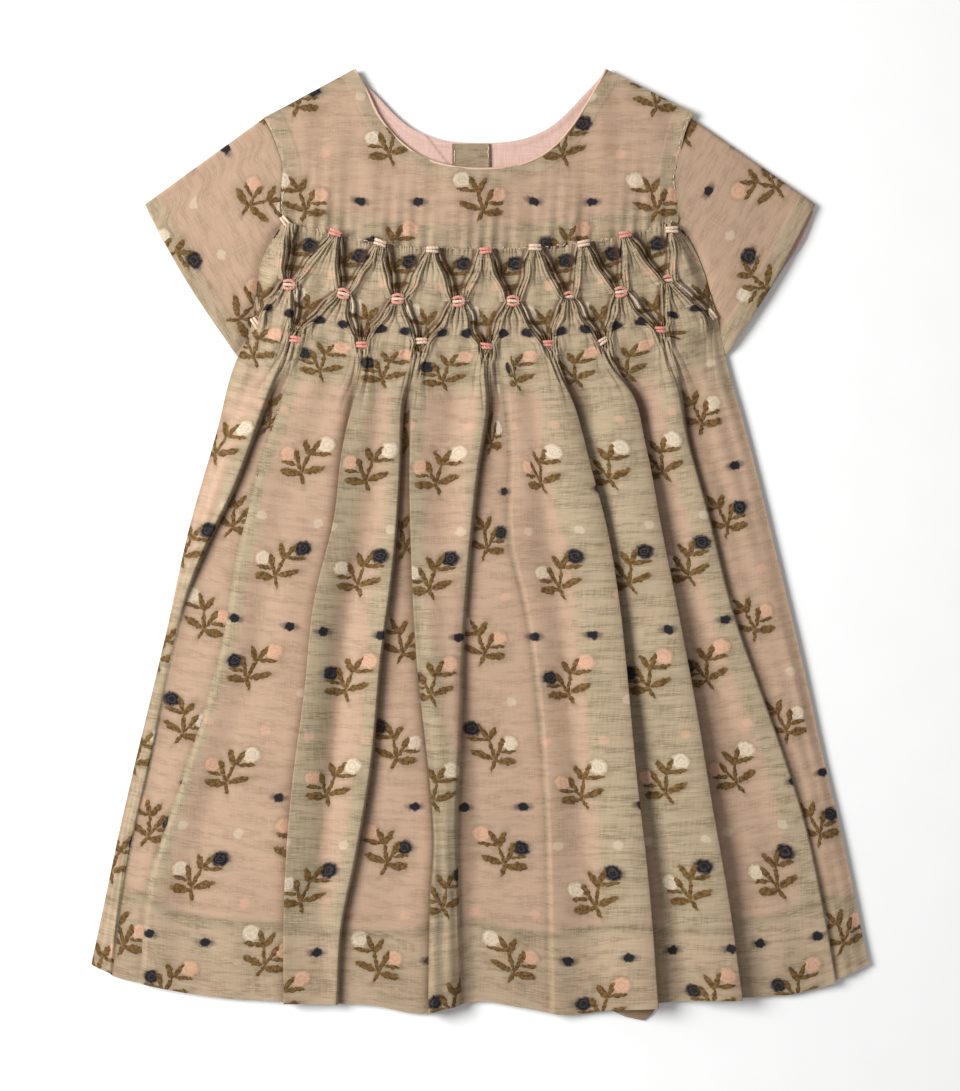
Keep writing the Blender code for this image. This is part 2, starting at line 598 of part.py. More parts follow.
def sleeve(name, body_edge, tip, underarm_y, side):
    """A short sleeve as a flattened tube, open at the armhole and at the cuff; side is -1 or 1."""
    half = SLEEVE_HEIGHT / 2
    armhole_y = np.linspace(SLEEVE_TOP_Y, underarm_y, SLEEVE_STATIONS)
    armhole = np.stack([body_edge(armhole_y) + side * SLEEVE_GAP, armhole_y], axis=1)
    tip = np.array(tip)
    cuff_foot = armhole[-1] + (tip - armhole[-1]) * CUFF_FOOT_SHARE
    cuff_middle = (tip + cuff_foot) / 2 + np.array([side * CUFF_BOW[0], CUFF_BOW[1]])
    flat = coons(
        along([armhole[0], tip]),
        along([armhole[-1], cuff_foot]),
        lambda share: armhole,
        along([tip, cuff_middle, cuff_foot]),
        np.linspace(0.0, 1.0, SLEEVE_RINGS),
        np.linspace(0.0, 1.0, SLEEVE_STATIONS),
    )
    walls = []
    for wall in (0.0, CLOTH):
        rings = []
        for j in range(SLEEVE_RINGS):
            line = flat[:, j]
            from_cuff = math.sin(math.pi * j / (SLEEVE_RINGS - 1))
            crown = SLEEVE_CROWN * np.sin(np.linspace(0.0, np.pi, len(line))) * from_cuff**0.5
            top_out = (line[0] - line[1]) / np.linalg.norm(line[0] - line[1])
            foot_out = (line[-1] - line[-2]) / np.linalg.norm(line[-1] - line[-2])
            inset = line.copy()
            inset[0] -= top_out * half
            inset[-1] -= foot_out * half
            ring = [(*p, 2 * half - wall + c) for p, c in zip(inset, crown)]
            ring += cap_points(inset[-1], foot_out, half, half - wall, 90.0)
            ring += [(*p, wall) for p in inset[::-1]]
            ring += cap_points(inset[0], top_out, half, half - wall, -90.0)
            rings.append(ring)
        walls.append(np.array(rings))
    finish(name, tube_mesh(name, walls[0], walls[1]), ROSE_GREIGE)


def cap_points(centre, direction, middle, radius, start):
    """Three points of the half-round fold at the edge of a flattened tube."""
    points = []
    for i in (1, 2, 3):
        angle = math.radians(start - math.copysign(45.0 * i, start))
        out = direction * radius * math.cos(angle)
        points.append((centre[0] + out[0], centre[1] + out[1], middle + radius * math.sin(angle)))
    return points


def tube_mesh(name, outer, inner):
    """A tube's wall from rings of outer and inner points, with a rim at each open end."""
    rows, columns = outer.shape[:2]
    count = rows * columns
    verts = np.concatenate([outer.reshape(-1, 3), inner.reshape(-1, 3)]) * MM
    faces = []
    for i in range(rows):
        for j in range(columns):
            a = i * columns + j
            b = i * columns + (j + 1) % columns
            if i < rows - 1:
                faces.append((a, b, b + columns, a + columns))
                faces.append((count + a, count + a + columns, count + b + columns, count + b))
            if i in (0, rows - 1):
                faces.append((a, b, count + b, count + a))
    mesh = bpy.data.meshes.new(name)
    mesh.from_pydata(verts.tolist(), [], faces)
    return mesh


for thing in list(bpy.data.objects):
    bpy.data.objects.remove(thing)
dress = bpy.data.collections.new("ruched_baby_dress")
bpy.context.scene.collection.children.link(dress)

back_bodice()
back_skirt()
bodice_lining()
skirt_lining()
back_placket()
front_yoke()
front_skirt()
sleeve("right_sleeve", body_edge_of(LEFT_ARMHOLE, LEFT_SIDE), (-CUFF_TIP[0], CUFF_TIP[1]), UNDERARM_Y, -1)
sleeve("left_sleeve", body_edge_of(RIGHT_ARMHOLE, RIGHT_SIDE), CUFF_TIP, UNDERARM_Y, 1)
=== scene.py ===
"""A ruched baby dress laid flat and seen from straight above: the looks of its cloth, lining and sewing."""

import math

import bmesh
import bpy
import numpy as np
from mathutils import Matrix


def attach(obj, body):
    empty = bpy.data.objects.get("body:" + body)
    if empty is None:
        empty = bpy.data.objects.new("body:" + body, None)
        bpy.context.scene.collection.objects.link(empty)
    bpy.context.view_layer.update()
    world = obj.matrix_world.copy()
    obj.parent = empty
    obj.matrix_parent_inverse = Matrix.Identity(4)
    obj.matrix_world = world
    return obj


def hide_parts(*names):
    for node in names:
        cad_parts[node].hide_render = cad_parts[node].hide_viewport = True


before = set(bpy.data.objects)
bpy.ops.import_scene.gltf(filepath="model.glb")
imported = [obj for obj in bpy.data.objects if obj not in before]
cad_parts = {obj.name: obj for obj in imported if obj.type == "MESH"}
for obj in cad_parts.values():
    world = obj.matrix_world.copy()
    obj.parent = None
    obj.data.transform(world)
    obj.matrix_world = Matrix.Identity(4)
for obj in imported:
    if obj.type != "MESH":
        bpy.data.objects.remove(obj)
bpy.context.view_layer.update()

# Camera and light. The dress lies on a white table, with a camera straight above it and one large soft
# window to the upper left, so each fold has a soft shadow to its right and below.

MM = 0.001
PHOTO_TALL = 0.5346  # height of the photograph's frame where the dress lies
LENS = 85.0
SENSOR = 36.0
CLOTH_LEVEL = 0.004


def placed(name, data):
    """A new object of this name and data, at the origin of the scene."""
    made = bpy.data.objects.new(name, data)
    bpy.context.collection.objects.link(made)
    return made


camera = placed("camera", bpy.data.cameras.new("camera"))
camera.data.lens = LENS
camera.data.sensor_width = SENSOR
camera.data.clip_start = 0.05
camera.location = (0.0, -0.0005, CLOTH_LEVEL + PHOTO_TALL * LENS / SENSOR)
bpy.context.scene.camera = camera

LAMPS = (  # name, place, width, watts
    ("window", (-0.98, 0.24, 0.98), 0.8, 26.4),
    ("fill", (0.9, -0.5, 1.6), 2.2, 3.3),
)
for label, stands_at, width, watts in LAMPS:
    light = bpy.data.lights.new(label, "AREA")
    light.shape = "DISK"
    light.size = width
    light.energy = watts
    holder = placed(label, light)
    holder.location = stands_at
    holder.rotation_euler = (-holder.location).to_track_quat("-Z", "Y").to_euler()

room = bpy.data.worlds.new("room")
bpy.context.scene.world = room
room.use_nodes = True
walls_glow = room.node_tree.nodes["Background"].inputs
walls_glow["Color"].default_value = (1.0, 0.99, 0.98, 1.0)
walls_glow["Strength"].default_value = 0.30
bpy.context.scene.view_settings.view_transform = "Standard"


def linear(hex_colour):
    """An sRGB hex colour as linear RGBA."""
    shares = [int(hex_colour[i:i + 2], 16) / 255 for i in (1, 3, 5)]
    return (*[c / 12.92 if c <= 0.04045 else ((c + 0.055) / 1.055) ** 2.4 for c in shares], 1.0)


def node(tree, kind, inputs=(), **settings):
    """Adds a node with its settings; an input is a value, a socket, or a node whose first output it takes."""
    made = tree.nodes.new(kind)
    for key, value in settings.items():
        setattr(made, key, value)
    for key, value in dict(inputs).items():
        if isinstance(value, bpy.types.Node):
            tree.links.new(value.outputs[0], made.inputs[key])
        elif isinstance(value, bpy.types.NodeSocket):
            tree.links.new(value, made.inputs[key])
        else:
            made.inputs[key].default_value = value
    return made


def new_material(name):
    """An empty node material and its Principled shader."""
    material = bpy.data.materials.new(name)
    material.use_nodes = True
    tree = material.node_tree
    tree.nodes.clear()
    shader = node(tree, "ShaderNodeBsdfPrincipled")
    node(tree, "ShaderNodeOutputMaterial", {"Surface": shader})
    return material, tree, shader


def blend(tree, share, under, over):
    """One colour laid over another."""
    return node(tree, "ShaderNodeMix", {0: share, 6: under, 7: over}, data_type="RGBA").outputs[2]


# Matt white paint: plain to the eye, with a cloud of tone that is just seen
table_paint, tree, shader = new_material("matt white table")
on_table = node(tree, "ShaderNodeTexCoord").outputs["Object"]
speck = node(tree, "ShaderNodeTexNoise", {"Vector": on_table, "Scale": 40.0})
tree.links.new(blend(tree, speck, linear("#F8F8F8"), linear("#FCFCFC")), shader.inputs["Base Color"])
shader.inputs["Roughness"].default_value = 0.8

TABLE_HALF, TABLE_TOP = 3.0, -0.0004
table_mesh = bpy.data.meshes.new("table")
table_corners = [(x * TABLE_HALF, y * TABLE_HALF, TABLE_TOP) for x, y in ((-1, -1), (1, -1), (1, 1), (-1, 1))]
table_mesh.from_pydata(table_corners, [], [(0, 1, 2, 3)])
table_mesh.materials.append(table_paint)
placed("table", table_mesh)


# The outer cloth. A sheer cotton voile in which woven sprigs have their floating threads clipped at the back.
# The sprigs stand in columns, every second one turned over and half a row lower, and their blossoms go round
# three colours: ink, rose and cream. The cloth's UV map, "cloth", is in metres along its weft and its warp.

COLUMN = 42.5  # between two columns of sprigs, in mm, as is the rest of this section
ROW = 51.5
FIRST_ROW = 88.0  # warp place of a row with an ink and a rose blossom
TURNED_DROP = 83.3  # the same row of a turned column lies this much lower
SPRIG = (  # stems, then leaves: x, y, half length, half width, angle in degrees
    (-0.6, -9.5, 3.3, 1.00, 116.0),
    (-0.6, -2.6, 5.5, 0.95, 75.5),
    (-3.9, -2.6, 4.7, 0.90, 116.0),
    (-5.4, 0.6, 3.2, 1.45, 114.0),
    (-1.2, 5.3, 4.1, 1.55, 119.0),
    (2.7, 5.9, 4.5, 1.30, 61.0),
    (6.1, 3.1, 5.0, 1.05, 6.0),
    (4.5, -4.8, 5.5, 1.65, 20.0),
    (-8.3, -3.3, 3.8, 0.95, 176.0),
    (-7.2, -7.9, 4.5, 1.95, 178.0),
    (-3.2, -7.7, 2.8, 0.90, 182.0),
)
LEFT_BLOSSOM = (-9.6, 0.9, 3.8, 3.5)  # x, y, half width, half height
RIGHT_BLOSSOM = (8.3, 8.1, 4.5, 3.8)
DOT = (14.2, 2.2, 1.9)  # out from the column, half width, half height
DOT_LEFT, DOT_DOWN = 1.5, 0.59  # mm, and share of the way to the next row
RING = ("#15171F", "#DCAA8E", "#DBCAB2")  # the blossoms' colours: ink, rose, cream
RING_COVER = (0.97, 0.64, 0.72)  # how much of the cloth each hides
OLIVE = ("#50391A", "#785A2E")  # stems and leaves: dark and light
GREIGE = ("#B3A085", "#83755B")  # where the cloth is doubled: light and slub
ROSY = ("#BD9F87", "#A78B73")  # where the lining shows through
CLIPPED, CLIPPED_INK = "#7D6F55", "#4F4C46"  # ends of thread behind a sprig, and behind an ink blossom
PAINTED_SHADE_COLOUR = "#4A301D"  # painted shade, laid on the cloth deep in folds, slits and creases
FRAY = 0.0027  # how far the edges of a sprig stray, in metres


def cloth_material(name):
    """Sprigged voile: sheer and slubbed, rosy where the lining is near and greige where it is not, and
    darkened by painted shade where the mesh says.
    """
    material, tree, shader = new_material(name)
    uv = node(tree, "ShaderNodeUVMap", uv_map="cloth")
    weave_uv = node(tree, "ShaderNodeUVMap", uv_map="weave")
    frayed = node(tree, "ShaderNodeTexNoise", {"Vector": uv, "Scale": 480.0, "Detail": 4.0})
    middle = (0.5, 0.5, 0.5)
    moved = node(tree, "ShaderNodeVectorMath", {0: frayed.outputs["Color"], 1: middle}, operation="SUBTRACT")
    moved = node(tree, "ShaderNodeVectorMath", {0: moved, 3: FRAY}, operation="SCALE")
    place = node(tree, "ShaderNodeVectorMath", {0: uv, 1: moved}, operation="ADD")
    in_mm = node(tree, "ShaderNodeVectorMath", {0: place, 3: 1 / MM}, operation="SCALE")
    parts = node(tree, "ShaderNodeSeparateXYZ", {0: in_mm})
    weft, warp = parts.outputs[0], parts.outputs[1]

    column = node(tree, "ShaderNodeMath", {0: weft, 1: 1 / COLUMN, 2: 0.5}, operation="MULTIPLY_ADD")
    column = node(tree, "ShaderNodeMath", {0: column}, operation="FLOOR")
    upright = node(tree, "ShaderNodeMath", {0: column, 1: 2.0}, operation="FLOORED_MODULO")
    hand = node(tree, "ShaderNodeMath", {0: upright, 1: 2.0, 2: -1.0}, operation="MULTIPLY_ADD")
    x = node(tree, "ShaderNodeMath", {0: column, 1: -COLUMN, 2: weft}, operation="MULTIPLY_ADD")
    dot_side = node(tree, "ShaderNodeMath", {0: x, 1: DOT_LEFT}, operation="ADD")
    x = node(tree, "ShaderNodeMath", {0: x, 1: hand}, operation="MULTIPLY")
    start = node(tree, "ShaderNodeMath", {
        0: upright, 1: TURNED_DROP, 2: FIRST_ROW - TURNED_DROP}, operation="MULTIPLY_ADD")
    down = node(tree, "ShaderNodeMath", {0: start, 1: warp}, operation="SUBTRACT")
    down = node(tree, "ShaderNodeMath", {0: down, 1: ROW}, operation="DIVIDE")
    row = node(tree, "ShaderNodeMath", {0: down, 1: 0.5}, operation="ADD")
    row = node(tree, "ShaderNodeMath", {0: row}, operation="FLOOR")
    y = node(tree, "ShaderNodeMath", {0: row, 1: down}, operation="SUBTRACT")
    y = node(tree, "ShaderNodeMath", {0: y, 1: ROW}, operation="MULTIPLY")
    here = node(tree, "ShaderNodeCombineXYZ", {0: x, 1: y})

    def reach(centre, half, angle, at):
        """How far a place is out of an ellipse: 1 on its edge."""
        turned = node(tree, "ShaderNodeMapping", {
            "Vector": at, "Location": (*centre, 0.0), "Rotation": (0.0, 0.0, math.radians(angle)),
            "Scale": (*half, 1.0)}, vector_type="TEXTURE")
        return node(tree, "ShaderNodeVectorMath", {0: turned}, operation="LENGTH").outputs["Value"]

    def within(distance, inner, outer):
        """1 nearer than inner, 0 past outer."""
        return node(tree, "ShaderNodeMapRange", {
            "Value": distance, "From Min": inner, "From Max": outer, "To Min": 1.0, "To Max": 0.0},
            interpolation_type="SMOOTHSTEP")

    leaves = None
    for lx, ly, long, wide, angle in SPRIG:
        found = reach((lx, ly), (long, wide), angle, here)
        if leaves is not None:
            found = node(tree, "ShaderNodeMath", {0: leaves, 1: found}, operation="MINIMUM")
        leaves = found
    left = reach(LEFT_BLOSSOM[:2], LEFT_BLOSSOM[2:], 0.0, here)
    right = reach(RIGHT_BLOSSOM[:2], RIGHT_BLOSSOM[2:], 0.0, here)
    between = node(tree, "ShaderNodeMath", {0: down, 1: DOT_DOWN - 0.5}, operation="SUBTRACT")
    between = node(tree, "ShaderNodeMath", {0: between}, operation="FLOOR")
    dot_y = node(tree, "ShaderNodeMath", {0: between, 1: DOT_DOWN}, operation="ADD")
    dot_y = node(tree, "ShaderNodeMath", {0: dot_y, 1: down}, operation="SUBTRACT")
    dot_y = node(tree, "ShaderNodeMath", {0: dot_y, 1: ROW}, operation="MULTIPLY")
    dot_x = node(tree, "ShaderNodeMath", {0: dot_side}, operation="ABSOLUTE")
    dot_x = node(tree, "ShaderNodeMath", {0: dot_x, 1: DOT[0]}, operation="SUBTRACT")
    dot_place = node(tree, "ShaderNodeCombineXYZ", {0: dot_x, 1: dot_y})
    dot = reach((0.0, 0.0), DOT[1:], 0.0, dot_place)
    dot_halo = reach((0.0, 0.0), (6.2, 2.6), 0.0, dot_place)

    def ring_colour(number, ahead):
        """Which of the three colours a blossom of this row has, and as alpha how much it covers."""
        at = node(tree, "ShaderNodeMath", {0: number, 1: float(ahead)}, operation="ADD")
        at = node(tree, "ShaderNodeMath", {0: at, 1: 3.0}, operation="FLOORED_MODULO")
        at = node(tree, "ShaderNodeMath", {0: at, 1: 1 / 3, 2: 0.1}, operation="MULTIPLY_ADD")
        ramp = node(tree, "ShaderNodeValToRGB", {0: at})
        ramp.color_ramp.interpolation = "CONSTANT"
        ramp.color_ramp.elements.new(2 / 3)
        for third, element in enumerate(ramp.color_ramp.elements):
            element.position = third / 3
            element.color = (*linear(RING[third])[:3], RING_COVER[third])
        return ramp

    def noise(stretch, detail=2.0):
        """Noise drawn out along the weft or the warp: its features in each metre of either."""
        drawn = node(tree, "ShaderNodeVectorMath", {0: weave_uv, 1: (*stretch, 1.0)}, operation="MULTIPLY")
        return node(tree, "ShaderNodeTexNoise", {
            "Vector": drawn, "Scale": 1.0, "Detail": detail, "Roughness": 0.6})

    def scaled(value, factor, plus=0.0):
        """A value times a factor, plus a constant."""
        return node(tree, "ShaderNodeMath", {0: value, 1: factor, 2: plus}, operation="MULTIPLY_ADD")

    # Slubs lie along the weft, in patches, with finer and weaker lines along the warp
    slub = noise((190.0, 2300.0), 3.0)
    patch = noise((60.0, 260.0), 1.0)
    thick = noise((28.0, 620.0), 1.0)
    ends = noise((1700.0, 90.0))
    cloud = noise((70.0, 110.0), 3.0)
    streak = within(slub.outputs[0], 0.59, 0.43)
    broad = within(thick.outputs[0], 0.66, 0.46)
    line = within(ends.outputs[0], 0.61, 0.42)
    near = node(tree, "ShaderNodeAttribute", attribute_name="near")
    # Painted shade: how much shade each point of the mesh has painted into the cloth's colour
    painted_shade = node(tree, "ShaderNodeAttribute", attribute_name="painted_shade")
    uneven = node(tree, "ShaderNodeMath", {
        0: scaled(cloud, 0.55, -0.28), 1: scaled(slub, 0.5, -0.25)}, operation="ADD")
    near_here = node(tree, "ShaderNodeMath", {
        0: near.outputs["Fac"], 1: uneven}, operation="ADD", use_clamp=True)
    light_cloth = blend(tree, near_here, linear(GREIGE[0]), linear(ROSY[0]))
    dark_cloth = blend(tree, near_here, linear(GREIGE[1]), linear(ROSY[1]))
    woven = node(tree, "ShaderNodeMath", {
        0: streak, 1: 0.50, 2: scaled(line, 0.22)}, operation="MULTIPLY_ADD")
    patchy = scaled(within(patch, 0.62, 0.40), 0.85, 0.45)
    woven = node(tree, "ShaderNodeMath", {0: woven, 1: patchy}, operation="MULTIPLY")
    woven = node(tree, "ShaderNodeMath", {
        0: broad, 1: 0.16, 2: woven}, operation="MULTIPLY_ADD", use_clamp=True)
    ground = blend(tree, woven, light_cloth, dark_cloth)

    # Clipped threads behind the sprigs darken the cloth round them
    blossom_near = node(tree, "ShaderNodeMath", {0: left, 1: right}, operation="MINIMUM")
    round_leaves, round_blossoms = within(leaves, 1.0, 2.6), within(blossom_near, 1.0, 1.5)
    halo = node(tree, "ShaderNodeMath", {0: round_leaves, 1: round_blossoms}, operation="MAXIMUM")
    behind = blend(tree, scaled(halo, 0.34), ground, linear(CLIPPED))
    dot_colour = ring_colour(between, 1).outputs[0]
    brightness = node(tree, "ShaderNodeRGBToBW", {0: dot_colour})
    is_ink = node(tree, "ShaderNodeMath", {0: brightness, 1: 0.1}, operation="LESS_THAN")
    round_dot = within(dot_halo, 0.4, 1.1)
    smear = node(tree, "ShaderNodeMath", {0: round_dot, 1: scaled(is_ink, 0.58, 0.06)}, operation="MULTIPLY")
    cloth = blend(tree, smear, behind, dot_colour)

    # A blossom is darned round and round: paler at its rim, with the cloth just seen between the threads
    fuzz = noise((620.0, 620.0), 2.0)
    on_dot = within(dot, 0.92, 1.32)
    dot_cover = node(tree, "ShaderNodeMath", {0: on_dot, 1: scaled(is_ink, 0.55, 0.40)}, operation="MULTIPLY")
    cloth = blend(tree, dot_cover, cloth, dot_colour)
    for distance, ahead, centre in ((left, 0, LEFT_BLOSSOM), (right, 1, RIGHT_BLOSSOM)):
        colour = ring_colour(row, ahead)
        inky = node(tree, "ShaderNodeMath", {0: colour.outputs["Alpha"], 1: 0.9}, operation="GREATER_THAN")
        smoke = within(reach(centre[:2], (7.6, 4.0), 0.0, here), 0.4, 1.1)
        smoke = node(tree, "ShaderNodeMath", {0: smoke, 1: scaled(inky, 0.50)}, operation="MULTIPLY")
        cloth = blend(tree, smoke, cloth, linear(CLIPPED_INK))
        turns = node(tree, "ShaderNodeMath", {
            0: distance, 1: 14.0, 2: scaled(fuzz, 10.0)}, operation="MULTIPLY_ADD")
        turns = node(tree, "ShaderNodeMath", {0: turns}, operation="SINE")
        thread = node(tree, "ShaderNodeMath", {
            0: turns, 1: 0.17, 2: colour.outputs["Alpha"]}, operation="MULTIPLY_ADD", use_clamp=True)
        on_blossom = within(distance, 0.82, 1.14)
        cover = node(tree, "ShaderNodeMath", {0: on_blossom, 1: thread}, operation="MULTIPLY")
        cloth = blend(tree, cover, cloth, colour.outputs[0])
    olive = blend(tree, within(fuzz.outputs[0], 0.62, 0.38), linear(OLIVE[1]), linear(OLIVE[0]))
    cloth = blend(tree, scaled(within(leaves, 0.84, 1.20), 0.96), cloth, olive)
    # Painted shade: the cloth is darkened toward a deep brown where the mesh says, in folds, slits and
    # creases
    cloth = blend(tree, scaled(painted_shade.outputs["Fac"], 0.86), cloth, linear(PAINTED_SHADE_COLOUR))
    tree.links.new(cloth, shader.inputs["Base Color"])

    raised = node(tree, "ShaderNodeMath", {0: leaves, 1: blossom_near}, operation="MINIMUM")
    raised = node(tree, "ShaderNodeMath", {
        0: within(raised, 0.6, 1.2), 1: scaled(fuzz, 0.5, 0.75)}, operation="MULTIPLY")
    surface = node(tree, "ShaderNodeMath", {
        0: raised, 1: 0.30, 2: scaled(woven, -0.10)}, operation="MULTIPLY_ADD")
    bump = node(tree, "ShaderNodeBump", {"Height": surface, "Distance": 0.0010, "Strength": 0.9})
    tree.links.new(bump.outputs[0], shader.inputs["Normal"])
    shader.inputs["Roughness"].default_value = 0.9
    shader.inputs["Specular IOR Level"].default_value = 0.2
    shader.inputs["Sheen Weight"].default_value = 0.08
    return material


sprigged_voile = cloth_material("sprigged cotton voile")


# The front skirt. One wide rectangle of voile, gathered into eight pleats by three rows of smocking knots
# and falling in deep folds from the last row to a hem turned up on the inside. Its top is sewn to the yoke.

CLOTH = 1.1
BACK_TOP = 1.2
LINING_BASE = 1.5
LINING_TOP = 2.5
FRONT_BASE = 2.8
SIDE_BASE = 1.5
SIDE_SLOPE = 7.0
SHOULDER_Y = 233.0
SEAM_Y, ROW_2_Y, ROW_3_Y, HEM_Y = 143.5, 118.6, 97.3, -225.0
HEM_DROP_Y, HEM_DROP, HEM_REACH = -196.0, 24.0, 80.0
HEM_TURN_Y = -185.0  # the hem is turned up on the inside as far as this
SEAM_LIFT, HEM_LIFT, LIFT_POWER = 14.0, 18.5, 2.4
LEFT_SIDE = (
    (-97.0, 157.5), (-106.8, 139.4), (-110.3, 119.8), (-112.7, 105.1), (-120.1, 88.9), (-128.9, 56.1),
    (-142.1, 10.0), (-154.4, -45.8), (-169.5, -109.0), (-183.3, -169.3), (-190.6, -206.0),
)
RIGHT_SIDE = (
    (97.5, 157.5), (107.8, 138.4), (113.7, 119.8), (117.6, 105.1), (121.0, 88.9), (129.5, 59.0),
    (145.0, -3.0), (158.0, -57.0), (168.6, -105.1), (180.5, -156.0), (190.6, -206.0),
)
FRONT_HEM = (
    (-190.6, -206.0), (-182.5, -210.5), (-164.5, -215.5), (-143.5, -220.0), (-100.0, -224.0), (-52.5, -226.0),
    (-24.5, -229.5), (-16.0, -226.5), (0.0, -224.0), (20.5, -227.0), (46.5, -230.5), (60.0, -228.5),
    (87.0, -225.0), (115.0, -222.5), (142.5, -221.5), (156.0, -220.0), (174.0, -213.5), (190.6, -206.0),
)
LINING_HEM = (
    (-166.0, -171.0), (-146.0, -179.5), (-96.0, -185.5), (-27.5, -188.0), (-8.5, -184.5), (29.5, -190.0),
    (74.0, -185.0), (95.0, -188.0), (121.5, -184.5), (145.0, -180.5), (171.0, -172.0),
)
PLEATS = 8
EDGE_STEP = 0.2
ROW_1 = (-95.5, -70.5, -48.5, -23.5, 2.5, 27.0, 50.5, 71.0, 94.0)
ROW_2 = (-93.0, -66.5, -40.0, -10.5, 16.0, 43.5, 69.0, 92.0)
ROW_3 = (-110.0, -90.0, -57.5, -29.0, 3.0, 33.5, 59.5, 88.5, 113.5)
PINCH = 0.08
# Each fold: its step, the side that its edge faces, its tuck and rise, its heights, the width of its doubled
# band above and below, and the path of its edge
FOLDS = (
    {"step": 1.0, "faces": 1, "tuck": 2.0, "rise": 14.0, "high": (3.4, 2.6, 0.3), "band": (2, 1), "path": (
        (-90.0, 100.0), (-101.0, 75.5), (-111.5, 48.5), (-120.5, 25.5), (-133.0, 0.0), (-146.0, -34.0),
        (-153.0, -62.5), (-161.5, -105.5), (-172.5, -154.5), (-180.5, -212.0))},
    {"step": 1.12, "faces": -1, "tuck": 0.5, "rise": 16.0, "high": (0.4, 1.6, 1.4), "band": (2, 2), "path": (
        (-86.0, 98.5), (-95.5, 73.5), (-103.5, 51.5), (-118.0, -3.0), (-128.0, -58.0), (-146.0, -116.5),
        (-161.0, -163.0), (-166.5, -215.0))},
    {"step": 2.0, "faces": -1, "tuck": 4.0, "rise": 16.0, "high": (4.4, 5.0, 4.0), "band": (5, 13), "path": (
        (-57.5, 97.5), (-61.5, 75.5), (-68.0, 42.0), (-71.0, 15.0), (-81.0, -27.5), (-86.0, -74.0),
        (-92.0, -119.5), (-95.5, -169.5), (-96.0, -224.0))},
    {"step": 2.9, "faces": 1, "tuck": 2.5, "rise": 17.0, "high": (3.0, 4.4, 3.4), "band": (3, 5), "path": (
        (-32.0, 97.5), (-35.5, 80.5), (-37.5, 63.5), (-38.5, 39.5), (-42.0, -9.5), (-47.5, -52.0),
        (-53.5, -113.0), (-61.0, -156.5), (-67.0, -185.5), (-69.5, -225.0))},
    {"step": 3.05, "faces": -1, "tuck": 3.0, "rise": 20.0, "high": (3.0, 4.8, 5.4), "band": (4, 10), "path": (
        (-27.5, 97.5), (-33.0, 75.5), (-34.5, 39.5), (-34.0, 2.5), (-31.0, -56.5), (-24.5, -119.5),
        (-23.0, -144.5), (-24.5, -174.0), (-25.5, -229.0))},
    {"step": 4.0, "faces": 1, "tuck": 2.0, "rise": 18.0, "high": (3.6, 3.0, 0.8), "band": (2, -4), "path": (
        (3.0, 97.0), (5.0, 73.5), (-0.5, 34.5), (-4.0, 1.5), (-7.5, -44.5), (-8.5, -76.0),
        (-10.0, -125.0), (-9.0, -225.0))},
    {"step": 4.15, "faces": -1, "tuck": 1.0, "rise": 16.0, "high": (1.6, 2.4, 1.6), "band": (-4, -5),
        "path": (
        (7.5, 97.0), (12.0, 75.5), (14.5, 46.5), (15.0, 0.0), (21.5, -28.0), (28.5, -76.0),
        (32.0, -125.0), (34.5, -228.0))},
    {"step": 5.0, "faces": 1, "tuck": 9.0, "rise": 22.0, "high": (4.6, 6.4, 7.0), "band": (12, 13), "path": (
        (33.5, 98.0), (38.5, 87.0), (45.0, 71.5), (54.5, 37.0), (62.0, 8.5), (67.5, -24.5),
        (73.0, -76.0), (76.0, -109.0), (82.0, -161.5), (87.0, -225.0))},
    {"step": 6.0, "faces": 1, "tuck": 9.0, "rise": 22.0, "high": (4.8, 6.4, 6.4), "band": (23, 22), "path": (
        (59.5, 99.0), (66.0, 87.0), (74.0, 75.0), (81.0, 48.0), (88.5, 8.5), (99.0, -44.5),
        (106.0, -83.0), (113.5, -128.5), (121.5, -174.5), (128.0, -221.0))},
    {"step": 7.0, "faces": 1, "tuck": 2.5, "rise": 18.0, "high": (3.6, 3.0, 1.2), "band": (7, 6), "path": (
        (88.5, 105.0), (95.0, 90.0), (103.0, 48.0), (112.0, 15.0), (125.5, -37.5), (137.0, -70.0),
        (147.5, -99.5), (159.0, -135.5), (167.5, -174.5), (174.5, -214.0))},
)
FOLD_LIP = 1.4
FOLD_DROP = 3.4
FOLD_HEIGHTS_Y = (70.0, -60.0, -225.0)
FULLER = 1.3  # the soft tops of the folds are this many times as high as their table says
FOLD_START = 32.0
SETTLE = 60.0
FOLD_STATIONS = (86.0, 66.0, 42.0, 12.0, -25.0, -70.0, -115.0, -165.0, -225.0)
SIDE_SOFT, SIDE_RELIEF = 8.0, 0.25

